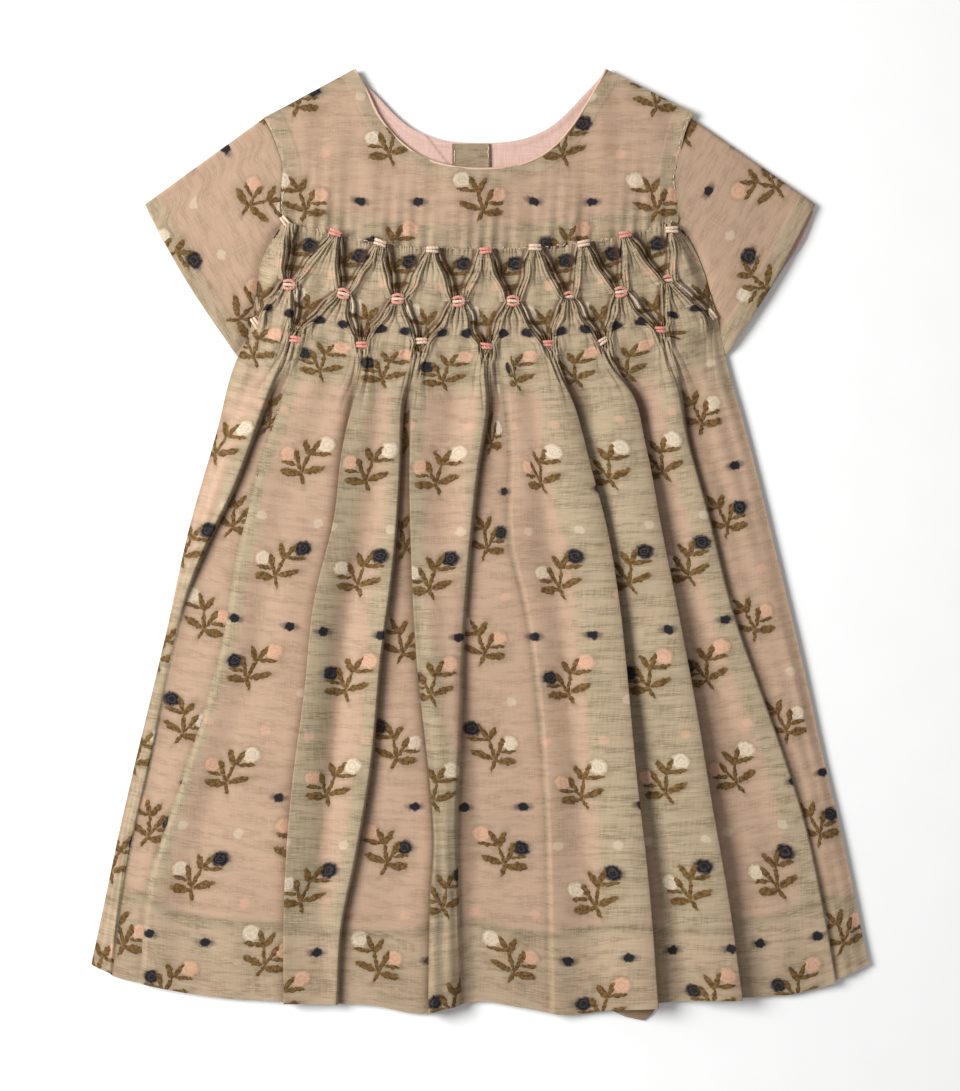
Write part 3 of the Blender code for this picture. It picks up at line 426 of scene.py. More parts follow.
# Where the columns of sprigs lie in the cloth that shows between two folds: column, then x and y down it
COLUMNS = (
    (0.5, ((-109.3, 88.0), (-124.0, 55.0), (-140.0, 10.0), (-160.0, -70.0), (-186.0, -190.0))),
    (1.0, ((-98.0, 80.0), (-108.0, 50.0), (-120.0, 17.0), (-134.8, -32.0), (-144.6, -83.5), (-161.7, -135.0),
           (-176.4, -184.0))),
    (1.5, ((-76.4, 88.0), (-85.8, 36.5), (-98.0, -12.5), (-112.7, -66.4), (-123.5, -117.8), (-139.7, -166.8),
           (-154.0, -222.0))),
    (2.5, ((-45.0, 88.0), (-53.9, 36.5), (-57.8, -12.5), (-63.7, -66.4), (-72.5, -117.8), (-84.3, -166.8),
           (-98.0, -222.0))),
    (3.0, ((-37.0, 56.0), (-38.2, 4.7), (-39.2, -44.3), (-41.7, -95.8), (-46.6, -149.7), (-51.5, -203.6))),
    (3.5, ((-16.2, 88.0), (-19.6, 36.5), (-23.0, -12.5), (-22.5, -66.4), (-21.6, -117.8), (-17.2, -166.8),
           (-12.3, -222.0))),
    (4.0, ((4.9, 56.0), (2.5, 4.7), (0.0, -44.3), (4.9, -95.8), (9.8, -148.7), (14.7, -201.0))),
    (4.5, ((15.7, 88.0), (29.4, 36.5), (39.2, -12.5), (44.1, -66.4), (50.5, -117.8), (57.3, -166.8),
           (61.3, -222.0))),
    (5.5, ((45.6, 88.0), (63.7, 36.5), (73.5, -12.5), (83.3, -66.4), (91.6, -117.8), (102.9, -166.8),
           (115.0, -222.0))),
    (6.5, ((72.0, 88.0), (90.7, 36.5), (102.9, -12.5), (112.7, -66.4), (127.4, -117.8), (147.0, -166.8),
           (157.0, -222.0))),
    (7.0, ((100.0, 88.0), (108.0, 56.0), (117.6, 16.9), (131.3, -35.5), (147.0, -86.0), (164.2, -139.9),
           (176.4, -188.9))),
)
OPEN_BOUNDS = (6,)  # the cloth runs on without a fold between these columns and the next ones


def ease(t):
    """From 0 to 1 without a corner at either end."""
    t = np.clip(t, 0.0, 1.0)
    return 0.5 - 0.5 * np.cos(np.pi * t)


def smooth_curve(keys, values):
    """A smooth function through the values at rising keys, held level past both ends."""
    keys = np.asarray(keys, float)
    values = np.asarray(values, float)
    slopes = np.gradient(values, keys, axis=0)

    def at(key):
        key = np.clip(np.asarray(key, float), keys[0], keys[-1])
        span = np.clip(np.searchsorted(keys, key) - 1, 0, len(keys) - 2)
        width = keys[span + 1] - keys[span]
        t = (key - keys[span]) / width
        if values.ndim > 1:
            t = t[..., None]
            width = width[..., None]
        bend = t * t * (3.0 - 2.0 * t)
        start = values[span] * (1.0 - bend) + slopes[span] * width * t * (1.0 - t) ** 2
        return start + values[span + 1] * bend - slopes[span + 1] * width * t * t * (1.0 - t)

    return at


def x_along(points):
    """Turns points (x, y) into a function that gives x at a height y."""
    table = np.array(sorted(points, key=lambda p: p[1]))
    return smooth_curve(table[:, 1], table[:, 0])


def y_along(points):
    """Turns points (x, y) from left to right into a function that gives y at a place x."""
    table = np.array(points)
    return smooth_curve(table[:, 0], table[:, 1])


left_side = x_along(LEFT_SIDE)
right_side = x_along(RIGHT_SIDE)
front_hem = y_along(FRONT_HEM)


def row_height(x, middle_y):
    """Height y, at the place x, of the row of cloth that crosses the middle of the dress at middle_y."""
    down = (SEAM_Y - middle_y) / (SEAM_Y - HEM_Y)
    lift = SEAM_LIFT + (HEM_LIFT - SEAM_LIFT) * down
    left = left_side(middle_y + lift)
    right = right_side(middle_y + lift)
    across = np.abs((x - (left + right) / 2) / ((right - left) / 2))
    plain = middle_y + lift * np.clip(across, 0.0, 1.1) ** LIFT_POWER
    hem_share = ease((HEM_Y + HEM_REACH - middle_y) / HEM_REACH)
    plain_hem = HEM_Y + HEM_LIFT * np.clip(across, 0.0, 1.1) ** LIFT_POWER
    return plain + hem_share * (front_hem(x) - plain_hem)


def side_place(side, middle_y):
    """Where a row of cloth ends, on the left or the right side."""
    down = (SEAM_Y - middle_y) / (SEAM_Y - HEM_Y)
    return side(middle_y + SEAM_LIFT + (HEM_LIFT - SEAM_LIFT) * down)


def row_through(x, y):
    """The row of cloth, as its height in the middle of the dress, that passes through a place."""
    middle_y = y
    for _ in range(8):
        middle_y = middle_y + y - float(row_height(x, middle_y))
    return middle_y


def fold_offset(tuck):
    """How far the visible edge of a fold lies from the line where it turns down."""
    out = np.linspace(-FOLD_LIP, FOLD_DROP, 61)
    place = out + tuck * (1.0 - ease((out + FOLD_LIP) / (FOLD_LIP + FOLD_DROP)))
    return max(float(place[:40].max()), tuck / 2)


def fold_tuck(fold, y):
    """How far a fold leans over at the height y: nothing at the smocking, all of it lower down."""
    return fold["tuck"] * ease((ROW_3_Y - y) / SETTLE)


def fold_line(fold):
    """Where the fold turns down, as x along y."""
    edge = x_along(fold["path"])
    heights = np.linspace(HEM_Y - 8, ROW_3_Y + 10, 60)
    offsets = [fold_offset(float(fold_tuck(fold, y))) for y in heights]
    return lambda y: edge(y) - fold["faces"] * np.interp(y, heights, offsets)


def pleat_place(row, step):
    """Place x of a pleating step on row 0, 1 or 2 of the smocking."""
    whole = np.arange(PLEATS + 1)
    steps = (whole, whole[:-1] + 0.5, whole)[row]
    knots = (ROW_1, ROW_2, ROW_3)[row]
    middle_y = (SEAM_Y, ROW_2_Y, ROW_3_Y)[row]
    keys = [-EDGE_STEP, *steps, PLEATS + EDGE_STEP]
    values = [float(side_place(left_side, middle_y)), *knots, float(side_place(right_side, middle_y))]
    return np.interp(step, keys, values)


lines = [fold_line(fold) for fold in FOLDS]


def step_places(rows):
    """For each row of cloth, the places x of a fine series of pleating steps."""
    steps = np.arange(-EDGE_STEP, PLEATS + EDGE_STEP + 0.01, 0.02)
    fold_steps = [-EDGE_STEP] + [fold["step"] for fold in FOLDS] + [PLEATS + EDGE_STEP]
    columns = []
    for fold, line in zip(FOLDS, lines):
        heights = [y for x, y in fold["path"]]
        columns.append(x_along([(float(line(y)), row_through(float(line(y)), y)) for y in heights]))
    knots = [(row_y, pleat_place(row, steps)) for row, row_y in enumerate((SEAM_Y, ROW_2_Y, ROW_3_Y))]
    for row in FOLD_STATIONS:
        places = [float(side_place(left_side, row))] + [float(column(row)) for column in columns]
        knots.append((row, np.interp(steps, fold_steps, places + [float(side_place(right_side, row))])))
    knots.sort(key=lambda knot: knot[0])
    return steps, smooth_curve([knot[0] for knot in knots], np.array([knot[1] for knot in knots]))(rows)


def ripple(x, y, length, seed):
    """A soft uneven swell between -1 and 1, made of a few waves of about this length."""
    waves = np.random.default_rng(seed)
    total = np.zeros_like(x)
    for _ in range(6):
        turn, phase = waves.uniform(0, np.pi), waves.uniform(0, 2 * np.pi)
        scale = 2 * np.pi / (length * waves.uniform(0.7, 1.5))
        total += np.sin((x * np.cos(turn) + y * np.sin(turn)) * scale + phase)
    return total / 3.0


def pleated(phase):
    """Fine pleats side by side: 1 on their round tops, 0 in the narrow hollows between them."""
    return np.abs(np.cos(np.pi * phase)) ** 0.6


COLUMNS_ACROSS = 740
YOKE_EDGE_UP = 1.4  # the yoke ends this much above the first row of knots
BAND_END = 62.0  # the smocked piece reaches down to here, and the fall begins
band_rows = np.concatenate([
    np.linspace(SEAM_Y + YOKE_EDGE_UP - 0.1, 92.0, 92), np.linspace(90.8, BAND_END, 24)])
fall_rows = np.linspace(BAND_END, HEM_Y, 119)
rows = np.concatenate([band_rows, fall_rows[1:]])
row_y = np.repeat(rows[:, None], COLUMNS_ACROSS, axis=1)
across = np.linspace(0.0, 1.0, COLUMNS_ACROSS)[None, :]
flat_x = side_place(left_side, row_y) * (1 - across) + side_place(right_side, row_y) * across
flat_y = row_height(flat_x, row_y)
fine_steps, fine_places = step_places(rows)
step = np.stack([np.interp(flat_x[i], fine_places[i], fine_steps) for i in range(len(rows))])


def place_of(steps):
    """The place x of a pleating step on each row of cloth."""
    return np.stack([np.interp(steps[i], fine_steps, fine_places[i]) for i in range(len(rows))])


nearest = np.round(step * 2) / 2
pitch = (place_of(nearest + 0.2) - place_of(nearest - 0.2)) / 0.4  # mm in a whole pleat
from_side = np.minimum(flat_x - left_side(flat_y), right_side(flat_y) - flat_x)
over_lining = 1.0 - ease((HEM_DROP_Y - row_y) / HEM_DROP)
inside = SIDE_BASE + (FRONT_BASE - SIDE_BASE) * ease(from_side / SIDE_SLOPE) * over_lining

# The smocked band: raised tents hang from the knots of rows 1 and 2, with hollow pockets between them.
# Heights here are in mm, and the knot row counts 0, 1 and 2 down the three rows of knots.
TENT_HIGH, BUNDLE_HIGH, BUNDLE_PLEAT, FINE_PLEAT = 4.2, 2.2, 1.5, 1.9
knot_row = np.where(
    row_y > ROW_2_Y, (SEAM_Y - row_y) / (SEAM_Y - ROW_2_Y), 1.0 + (ROW_2_Y - row_y) / (ROW_2_Y - ROW_3_Y))
below = np.clip(knot_row - 2.0, 0.0, None)
swing = 1.0 - np.abs(np.clip(knot_row, 0.0, 2.0) - 1.0)
zigzag = PINCH * (1.0 - 0.75 * ease(below / 0.5)) + (0.5 - 2 * PINCH) * swing
zigzag += 0.16 * swing * (1.0 - swing) * ripple(flat_x, flat_y, 15.0, 4)
beside = np.abs(step - np.round(step))
in_whole = beside < zigzag
share = np.where(in_whole, beside / zigzag, (0.5 - beside) / (0.5 - zigzag))
half_width = np.where(in_whole, zigzag, 0.5 - zigzag) * pitch
upper = knot_row < 1.0
hood = 1.0 - ease((knot_row - 1.0) / 0.60)
tent = np.where(in_whole, np.where(upper, 1.0, 0.3 + 0.7 * hood), np.where(upper, 0.0, 1.0))
swell = np.clip(1.0 - share ** 2.6, 0.0, 1.0) ** 0.5 * tent * (0.55 + 0.45 * ease(half_width / 7.0))
to_even = beside * pitch  # across, to the knots of rows 1 and 3
to_odd = (0.5 - beside) * pitch  # and to those of row 2
to_row_1 = np.hypot(to_even, SEAM_Y - row_y)
to_row_2 = np.hypot(to_odd, ROW_2_Y - row_y)
to_row_3 = np.hypot(to_even, ROW_3_Y - row_y)
from_knot = np.minimum(np.minimum(to_row_1, to_row_2), to_row_3)
off_line = (beside - zigzag) * pitch * 0.9  # across the line that joins two knots
spread = 0.85 + 0.85 * ease(from_knot / 9.0)
in_bundle = np.exp(-(off_line / 2.7) ** 4)
bundle_pleats = pleated(off_line / spread + 0.12 * ripple(flat_x, flat_y, 12.0, 7))
bundle = BUNDLE_HIGH * np.exp(-(off_line / 3.1) ** 2) + BUNDLE_PLEAT * in_bundle * bundle_pleats
away = np.clip(half_width / 4.6, 0.0, 1.0) ** 2
fan_2 = np.where(upper, 6.0, 11.5)
cone_1 = ease(((SEAM_Y - row_y) * 1.1 + 4.0 - to_even) / 4.0)
cone_2 = np.where(upper, 1.0, ease(((ROW_2_Y - row_y) * 1.1 + 4.0 - to_odd) / 4.0))
gathered = np.maximum(np.exp(-(to_row_1 / 11.0) ** 2) * cone_1, np.exp(-(to_row_2 / fan_2) ** 2) * cone_2)
gathered = np.maximum(gathered, np.exp(-(to_row_3 / 6.0) ** 2))
fine = pleated(share * 2.7 + 0.30 * ripple(flat_x, flat_y, 14.0, 5))
smock = TENT_HIGH * swell + bundle + (0.04 + FINE_PLEAT * gathered) * fine * away
smock += 0.55 * ripple(flat_x, flat_y * 0.4, 9.0, 6) * away * (1.0 - gathered)
under_seam = np.exp(-((SEAM_Y + YOKE_EDGE_UP - row_y) / 3.2) ** 2)
seam_pleats = pleated(flat_x / 2.3 + 0.9 * ripple(flat_x, flat_y * 0.3, 13.0, 9))
smock += 0.8 * under_seam * seam_pleats * away
near_edge = ease((np.abs(step - PLEATS / 2) - 3.35) / 0.6) * ease(below / 0.5)
smock = smock * (1.0 - ease(below / 1.5)) * (1.0 - near_edge)

# Painted shade in the creases: how dark they are painted between the fine pleats, along the bundles' feet, in
# the pockets and under the seam
into_pocket = off_line * np.where(upper, 1.0, -1.0)
painted_crease_shade = in_bundle * (1.0 - bundle_pleats) ** 2 * 0.9 + gathered * away * (1.0 - fine) ** 2 * 0.95
painted_crease_shade += np.exp(-((into_pocket - 2.9) / 0.9) ** 2) * 0.85 * (1.0 - np.exp(-(to_row_1 / 3.0) ** 2))
painted_crease_shade += (into_pocket > 2.5) * 0.55 * np.exp(-(np.where(upper, to_row_2, to_row_3) / 6.5) ** 2)
painted_crease_shade += under_seam * (1.0 - seam_pleats) ** 2 * away * 0.6
painted_crease_shade *= (1.0 - ease(below / 0.7)) * (1.0 - near_edge)

# Below the last row: short fine pleats that run out of each knot into its fold
short = np.zeros_like(flat_x)
drop = np.clip((ROW_3_Y - row_y) / 30.0, 0.0, 1.0)
uneven = 0.2 * ripple(flat_x, flat_y * 0.4, 12.0, 12)
for number in range(PLEATS + 1):
    off = (flat_x - place_of(np.full(len(rows), float(number)))[:, None]) / (2.6 + 7.5 * drop)
    lasting = ease((ROW_3_Y - row_y) / 4.0) * (1.0 - ease((ROW_3_Y - 10.0 - row_y) / 34.0))
    lasting *= 0.25 if number in (0, PLEATS) else 1.0
    reached = np.exp(-(off ** 2) * 1.6) * lasting
    drawn = pleated(off * 1.9 + 0.25 + 0.2 * number + uneven)
    short += reached * drawn
    # painted shade in the hollows between these short pleats
    painted_crease_shade += reached * (1.0 - drawn) ** 2 * 0.7 * (1.0 - ease(drop * 1.3))

# The folds: each rises softly to its edge and drops behind it, the deep ones leaning over. Where the cloth is
# doubled inside a fold the lining shows less, and a painted shadow darkens the slit behind the edge.

high = np.zeros_like(flat_x)
lean = np.zeros_like(flat_x)
doubled = np.zeros_like(flat_x)
painted_slit_shadow = np.zeros_like(flat_x)
segment = np.zeros(flat_x.shape, int)
for fold, line in zip(FOLDS, lines):
    height = FULLER * smooth_curve(FOLD_HEIGHTS_Y[::-1], fold["high"][::-1])(flat_y)
    height *= ease((ROW_3_Y - flat_y) / FOLD_START)
    out = (flat_x - line(flat_y)) * fold["faces"]
    sloping = ease((out + FOLD_LIP + fold["rise"]) / fold["rise"])
    turned = 1.0 - ease((out + FOLD_LIP) / (FOLD_LIP + FOLD_DROP))
    high += height * sloping * turned
    lean += fold["faces"] * fold_tuck(fold, flat_y) * sloping ** 3 * turned
    band = np.interp(flat_y, (HEM_Y, 60.0), fold["band"][::-1]) + 1.2 * ripple(flat_x, flat_y, 40.0, 11)
    in_band = (1.0 - ease((-out - band) / 5.0)) * (out < FOLD_DROP)
    doubled = np.maximum(doubled, in_band * ease((ROW_3_Y - row_y) / 20))
    # Painted shadow in the slit behind the edge, wider for a deeper tuck
    slit_width = 2.6 + 0.32 * fold["tuck"]
    behind_edge = np.exp(-((out - 0.75 * FOLD_DROP) / slit_width) ** 2)
    painted_slit_shadow = np.maximum(painted_slit_shadow, behind_edge * np.clip(height / 6.5, 0.0, 1.0))
    segment += (flat_x > line(flat_y) + fold["faces"] * 0.55 * FOLD_DROP).astype(int)

# The painted slit shadow grows paler toward the hem
painted_slit_shadow *= 0.55 + 0.45 * ease((flat_y + 60.0) / 110.0)
waves = 0.45 * ripple(step * 26.0, row_y * 0.16, 9.0, 3) + 0.35 * ripple(flat_x, flat_y * 0.35, 21.0, 8)
hem_turn = 0.35 * ease((HEM_TURN_Y - row_y) / 2.0)
relief = smock + 1.6 * short + high + (waves + 0.6) * ease((ROW_3_Y + 4.0 - row_y) / 30.0) + hem_turn
edge = ease(from_side / SIDE_SOFT)
relief = relief * (SIDE_RELIEF + (1.0 - SIDE_RELIEF) * edge)
outer = np.dstack([flat_x + lean * edge, flat_y, inside + CLOTH + relief])

# Places in the cloth. In the smocking they are measured from the middle of the tent or pocket, with most of
# the cloth drawn into its middle; in the skirt from the nearest column of sprigs that shows.
cell = np.where(in_whole, np.round(step), np.floor(step) + 0.5)
across_cell = flat_x - place_of(cell)
hidden = np.clip(np.abs(across_cell), 0.0, 3.0) * 3.87 + np.clip(np.abs(across_cell) - 3.0, 0.0, None)
hidden = np.sign(across_cell) * hidden
drawn_in = np.where(in_whole, upper * ease((row_y - 121.0) / 3.0), (~upper) * ease((row_y - 98.0) / 4.0))
shift = np.where(in_whole, -1.5 * (~upper), np.where(upper, 6.0, -1.5 * drawn_in))
weft_band = cell * 2 * COLUMN + across_cell * (1.0 - drawn_in) + hidden * drawn_in + shift
weft_fall = np.zeros_like(flat_x)
seen_x = outer[..., 0]
anchors = [x_along(points)(flat_y) for _, points in COLUMNS]
column_weft = [number * 2 * COLUMN for number, _ in COLUMNS]
for number, anchor in enumerate(anchors):
    weft_fall = np.where(segment == number, column_weft[number] + seen_x - anchor, weft_fall)
for number in OPEN_BOUNDS:
    near_x, far_x = anchors[number], anchors[number + 1]
    mixed = (seen_x - near_x) / (far_x - near_x)
    between_them = (seen_x > near_x) & (seen_x < far_x) & ((segment == number) | (segment == number + 1))
    span = column_weft[number + 1] - column_weft[number]
    weft_fall = np.where(between_them, column_weft[number] + mixed * span, weft_fall)
to_fall = ease((104.0 - row_y) / 15.0)
whole_band = in_whole & (row_y > ROW_3_Y - 1.0)
weft = np.where(whole_band, weft_band, weft_band * (1.0 - to_fall) + weft_fall * to_fall)
POCKET_WARP = (  # height on the dress, and place along the warp there, which sinks into the pockets
    (HEM_Y, HEM_Y), (70.0, 70.0), (88.0, 91.2), (97.0, 103.2), (105.5, 111.6), (118.6, 127.0),
    (131.0, 141.0), (145.0, 155.5),
)
TENT_WARP = ((97.3, 99.8), (118.6, 121.5), (127.0, 130.2), (143.5, 146.5))
warp = np.where(whole_band, np.interp(row_y, *zip(*TENT_WARP)), np.interp(row_y, *zip(*POCKET_WARP)))


def normals_of(points):
    """Outward direction of a grid of points whose rows run down and whose columns run across."""
    outward = np.cross(np.gradient(points, axis=0), np.gradient(points, axis=1))
    return outward / np.linalg.norm(outward, axis=2, keepdims=True)


def hollow_of(height, reach):
    """How deep each point lies under its surroundings, used as painted shade: 0 on open cloth, 1 in a narrow
    slit.
    """
    mean = height.copy()
    for _ in range(reach):
        mean[1:-1, 1:-1] = (
            mean[1:-1, 1:-1] + mean[:-2, 1:-1] + mean[2:, 1:-1] + mean[1:-1, :-2] + mean[1:-1, 2:]) / 5
    return np.clip((mean - height) * 1.6, 0.0, 1.0)


front_normals = normals_of(outer)

# How near the lining is, which makes the cloth rosy, and the painted shade that darkens it in hollows,
# creases and slits and along the lining's edge
front_near = (1.0 - ease(smock / 1.6)) * (1.0 - doubled)
front_near *= 1.0 - 0.8 * near_edge * ease((flat_y - 60.0) / 25.0)
front_near *= ease((ROW_3_Y + 6.0 - row_y) / 16.0) * 0.9 + 0.1
second_band = ease((ROW_2_Y + 3.0 - row_y) / 9.0) * ease((row_y - ROW_3_Y + 4.0) / 5.0) * (1.0 - gathered)
front_near += 0.40 * second_band * np.clip(0.4 + 0.7 * ripple(flat_x, flat_y, 19.0, 13), 0.0, 1.0)
past_lining = flat_y - y_along(LINING_HEM)(flat_x)
front_near = front_near * ease((past_lining + 1.0) / 3.0) + 0.30 * ease((-3.0 - past_lining) / 3.0)
# Painted shadow of the lining's lower edge, seen through the cloth
lining_edge_shadow = np.exp(-((past_lining + 1.5) / 1.4) ** 2)
front_painted_shade = 0.5 * hollow_of(outer[..., 2], 8) + 0.9 * painted_crease_shade + 0.95 * painted_slit_shadow + 0.34 * lining_edge_shadow
front_painted_shade = np.clip(front_painted_shade, 0.0, 1.0)


def give_maps(mesh, maps):
    """Gives a mesh its UV maps, by name, from one place in mm for each of its points."""
    corner = np.empty(len(mesh.loops), int)
    mesh.loops.foreach_get("vertex_index", corner)
    for key, places in maps:
        mesh.uv_layers.new(name=key).data.foreach_set("uv", (places * MM)[corner].ravel())


def give_values(mesh, values):
    """Gives the points of a mesh their values, by the name of the attribute."""
    for key, value in values:
        mesh.attributes.new(key, "FLOAT", "POINT").data.foreach_set("value", value)


INNER_PICK = 3  # the plain inner side of a cloth has every third point of its outer side


def cloth_wall(name, outer, inner, uv, near, painted_shade, normals=None, weave=None):
    """A closed wall of cloth: a fine outer side, a coarser inner side and a rim.

    The map "cloth" places the sprigs; the map "weave" places the slubs and is the same unless it is given.
    """
    normals = normals_of(outer) if normals is None else normals
    rows_, columns_ = outer.shape[:2]
    row_pick = sorted({*range(0, rows_, INNER_PICK), rows_ - 1})
    column_pick = sorted({*range(0, columns_, INNER_PICK), columns_ - 1})
    lower = inner[np.ix_(row_pick, column_pick)]
    count = rows_ * columns_
    verts = np.concatenate([outer.reshape(-1, 3), lower.reshape(-1, 3)]) * MM
    i, j = np.meshgrid(np.arange(rows_ - 1), np.arange(columns_ - 1), indexing="ij")
    a = (i * columns_ + j).ravel()
    faces = np.stack([a, a + columns_, a + columns_ + 1, a + 1], axis=1).tolist()
    wide = len(column_pick)
    for m in range(len(row_pick) - 1):
        for n in range(wide - 1):
            b = count + m * wide + n
            faces.append([b, b + 1, b + wide + 1, b + wide])
    ends = []  # each face of the rim: points of the fine edge, and two of the coarse edge
    for n in range(wide - 1):
        ends.append((range(column_pick[n], column_pick[n + 1] + 1), count + n, count + n + 1))
        start = (rows_ - 1) * columns_
        far = count + (len(row_pick) - 1) * wide
        back_along = range(start + column_pick[n + 1], start + column_pick[n] - 1, -1)
        ends.append((back_along, far + n + 1, far + n))
    for m in range(len(row_pick) - 1):
        top, low = row_pick[m], row_pick[m + 1]
        left = [k * columns_ for k in range(low, top - 1, -1)]
        right = [k * columns_ + columns_ - 1 for k in range(top, low + 1)]
        ends.append((left, count + (m + 1) * wide, count + m * wide))
        ends.append((right, count + m * wide + wide - 1, count + (m + 1) * wide + wide - 1))
    for fine_edge, first, last in ends:
        faces.append([*fine_edge, last, first])
    mesh = bpy.data.meshes.new(name)
    mesh.from_pydata(verts.tolist(), [], faces)
    pick = np.ix_(row_pick, column_pick)

    def both(table, width):
        """The values of the outer side and then of the inner side."""
        return np.concatenate([table.reshape(-1, width), table[pick].reshape(-1, width)])

    give_maps(mesh, (("cloth", both(uv, 2)), ("weave", both(uv if weave is None else weave, 2))))
    # near, and the painted shade of each point, as attributes
    give_values(mesh, (("near", both(near, 1).ravel()), ("painted_shade", both(painted_shade, 1).ravel())))
    mesh.shade_smooth()
    facing = both(normals, 3)
    facing[count:] *= -1.0
    mesh.normals_split_custom_set_from_vertices(facing.tolist())
    return placed(name, mesh)


front_uv = np.dstack([weft, warp])
front_weave = np.dstack([flat_x, row_y])
plain_side = np.dstack([flat_x, flat_y, inside])
followed = ease((ROW_3_Y - row_y) / 20.0)[..., None]
front_inner = plain_side * (1 - followed) + (outer - front_normals * CLOTH) * followed
split = len(band_rows)
for name, part in (("front_smocking", slice(0, split)), ("front_skirt_fall", slice(split - 1, None))):
    piece = cloth_wall(
        name, outer[part], front_inner[part], front_uv[part], front_near[part], front_painted_shade[part],
        front_normals[part], front_weave[part])
    piece.data.materials.append(sprigged_voile)
    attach(piece, "root")
    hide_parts("front_skirt")


# The smocking knots. Stranded cotton in pink and cream, sewn over and over through a pinch of cloth, so each
# knot is two or three bars of thread side by side. In the middle row they lie round a pale one like an eye.

KNOTS = (  # x, y, turn in degrees, whether cream, whether like an eye
    (-95.3, 158.2, -50, 1, 0), (-70.6, 152.1, -22, 0, 0), (-48.7, 147.2, -14, 1, 0), (-23.3, 143.8, -4, 1, 0),
    (2.7, 143.3, 2, 0, 0), (26.8, 145.0, 2, 1, 0), (50.5, 146.8, 6, 1, 0), (70.8, 151.2, 10, 0, 0),
    (93.6, 153.6, 4, 1, 0),
    (-93.1, 126.7, -10, 0, 1), (-66.6, 122.3, -8, 0, 1), (-40.2, 119.8, -3, 0, 1), (-10.3, 118.6, 0, 0, 1),
    (16.2, 118.8, 2, 0, 1), (43.4, 121.0, 4, 0, 1), (68.8, 123.2, 6, 0, 1), (92.1, 129.1, 8, 0, 1),
    (-109.9, 108.5, -60, 1, 0), (-90.0, 100.2, -4, 0, 0), (-57.5, 97.5, 0, 0, 0), (-28.8, 99.4, -2, 1, 0),
    (2.9, 96.9, 0, 0, 0), (33.1, 98.2, 0, 0, 0), (59.6, 99.0, 30, 1, 0), (88.3, 104.9, 4, 0, 0),
    (113.4, 112.8, -55, 1, 0),
)
KNOT_BAR = {"Reach": 2.7, "Thickness": 0.78, "Rise": 0.8, "Bow": 1.7}
BAR_APART = 1.65
THREAD = {"pink thread": ("#DE9581", "#CF8471"), "cream thread": ("#E7CAB2", "#D6B79C")}

for name, colours in THREAD.items():
    # Stranded cotton: a soft sheen, with fine dark lines of painted shade between its strands that wind round
    # it
    material, tree, shader = new_material(name)
    on_piece = node(tree, "ShaderNodeTexCoord").outputs["Object"]
    strands = node(tree, "ShaderNodeTexWave", {
        "Vector": on_piece, "Scale": 420.0, "Distortion": 2.0}, bands_direction="DIAGONAL")
    tree.links.new(blend(tree, strands, linear(colours[0]), linear(colours[1])), shader.inputs["Base Color"])
    bump = node(tree, "ShaderNodeBump", {"Height": strands, "Distance": 0.0002, "Strength": 0.6})
    tree.links.new(bump.outputs[0], shader.inputs["Normal"])
    shader.inputs["Roughness"].default_value = 0.6
    shader.inputs["Sheen Weight"].default_value = 0.3

# A bar of thread on each point: a short arc, straight or bowed, turned and coloured as the point says
tree = bpy.data.node_groups.new("thread bars", "GeometryNodeTree")
tree.interface.new_socket("Bars", in_out="INPUT", socket_type="NodeSocketGeometry")
for label in KNOT_BAR:
    tree.interface.new_socket(label, in_out="INPUT", socket_type="NodeSocketFloat")
tree.interface.new_socket("Thread", in_out="OUTPUT", socket_type="NodeSocketGeometry")
given = node(tree, "NodeGroupInput")
round_thread = node(tree, "GeometryNodeCurvePrimitiveCircle", {
    "Resolution": 7, "Radius": given.outputs["Thickness"]})
BAR_SAYS = ("turn", "cream", "bowed")
turn_of, cream_of, bowed_of = (
    node(tree, "GeometryNodeInputNamedAttribute", {"Name": key}, data_type="FLOAT").outputs["Attribute"]
    for key in BAR_SAYS)
spin = node(tree, "ShaderNodeCombineXYZ", {2: turn_of})
straight = node(tree, "FunctionNodeCompare", {"A": bowed_of, "B": 0.5}, operation="LESS_THAN")
bent = node(tree, "FunctionNodeCompare", {"A": bowed_of, "B": 0.5}, operation="GREATER_THAN")
back = node(tree, "ShaderNodeMath", {0: given.outputs["Reach"], 1: -1.0}, operation="MULTIPLY")
foot = node(tree, "ShaderNodeMath", {0: given.outputs["Rise"], 1: -1.0}, operation="MULTIPLY")
joined = node(tree, "GeometryNodeJoinGeometry")
for chosen, bow in ((straight, 0.0), (bent, given.outputs["Bow"])):
    arc = node(tree, "GeometryNodeCurveQuadraticBezier", {
        "Resolution": 9,
        "Start": node(tree, "ShaderNodeCombineXYZ", {0: back, 2: foot}),
        "Middle": node(tree, "ShaderNodeCombineXYZ", {1: bow, 2: given.outputs["Rise"]}),
        "End": node(tree, "ShaderNodeCombineXYZ", {0: given.outputs["Reach"], 2: foot})})
    bar = node(tree, "GeometryNodeCurveToMesh", {
        "Curve": arc, "Profile Curve": round_thread, "Fill Caps": True})
    on_points = node(tree, "GeometryNodeInstanceOnPoints", {
        "Points": given.outputs["Bars"], "Selection": chosen, "Instance": bar, "Rotation": spin})
    tree.links.new(on_points.outputs[0], joined.inputs[0])
real = node(tree, "GeometryNodeRealizeInstances", {0: joined})
soft = node(tree, "GeometryNodeSetShadeSmooth", {0: real})
pink = node(tree, "GeometryNodeSetMaterial", {0: soft, "Material": bpy.data.materials["pink thread"]})
is_cream = node(tree, "FunctionNodeCompare", {"A": cream_of, "B": 0.5}, operation="GREATER_THAN")
both = node(tree, "GeometryNodeSetMaterial", {
    0: pink, "Selection": is_cream, "Material": bpy.data.materials["cream thread"]})
node(tree, "NodeGroupOutput", {0: both})


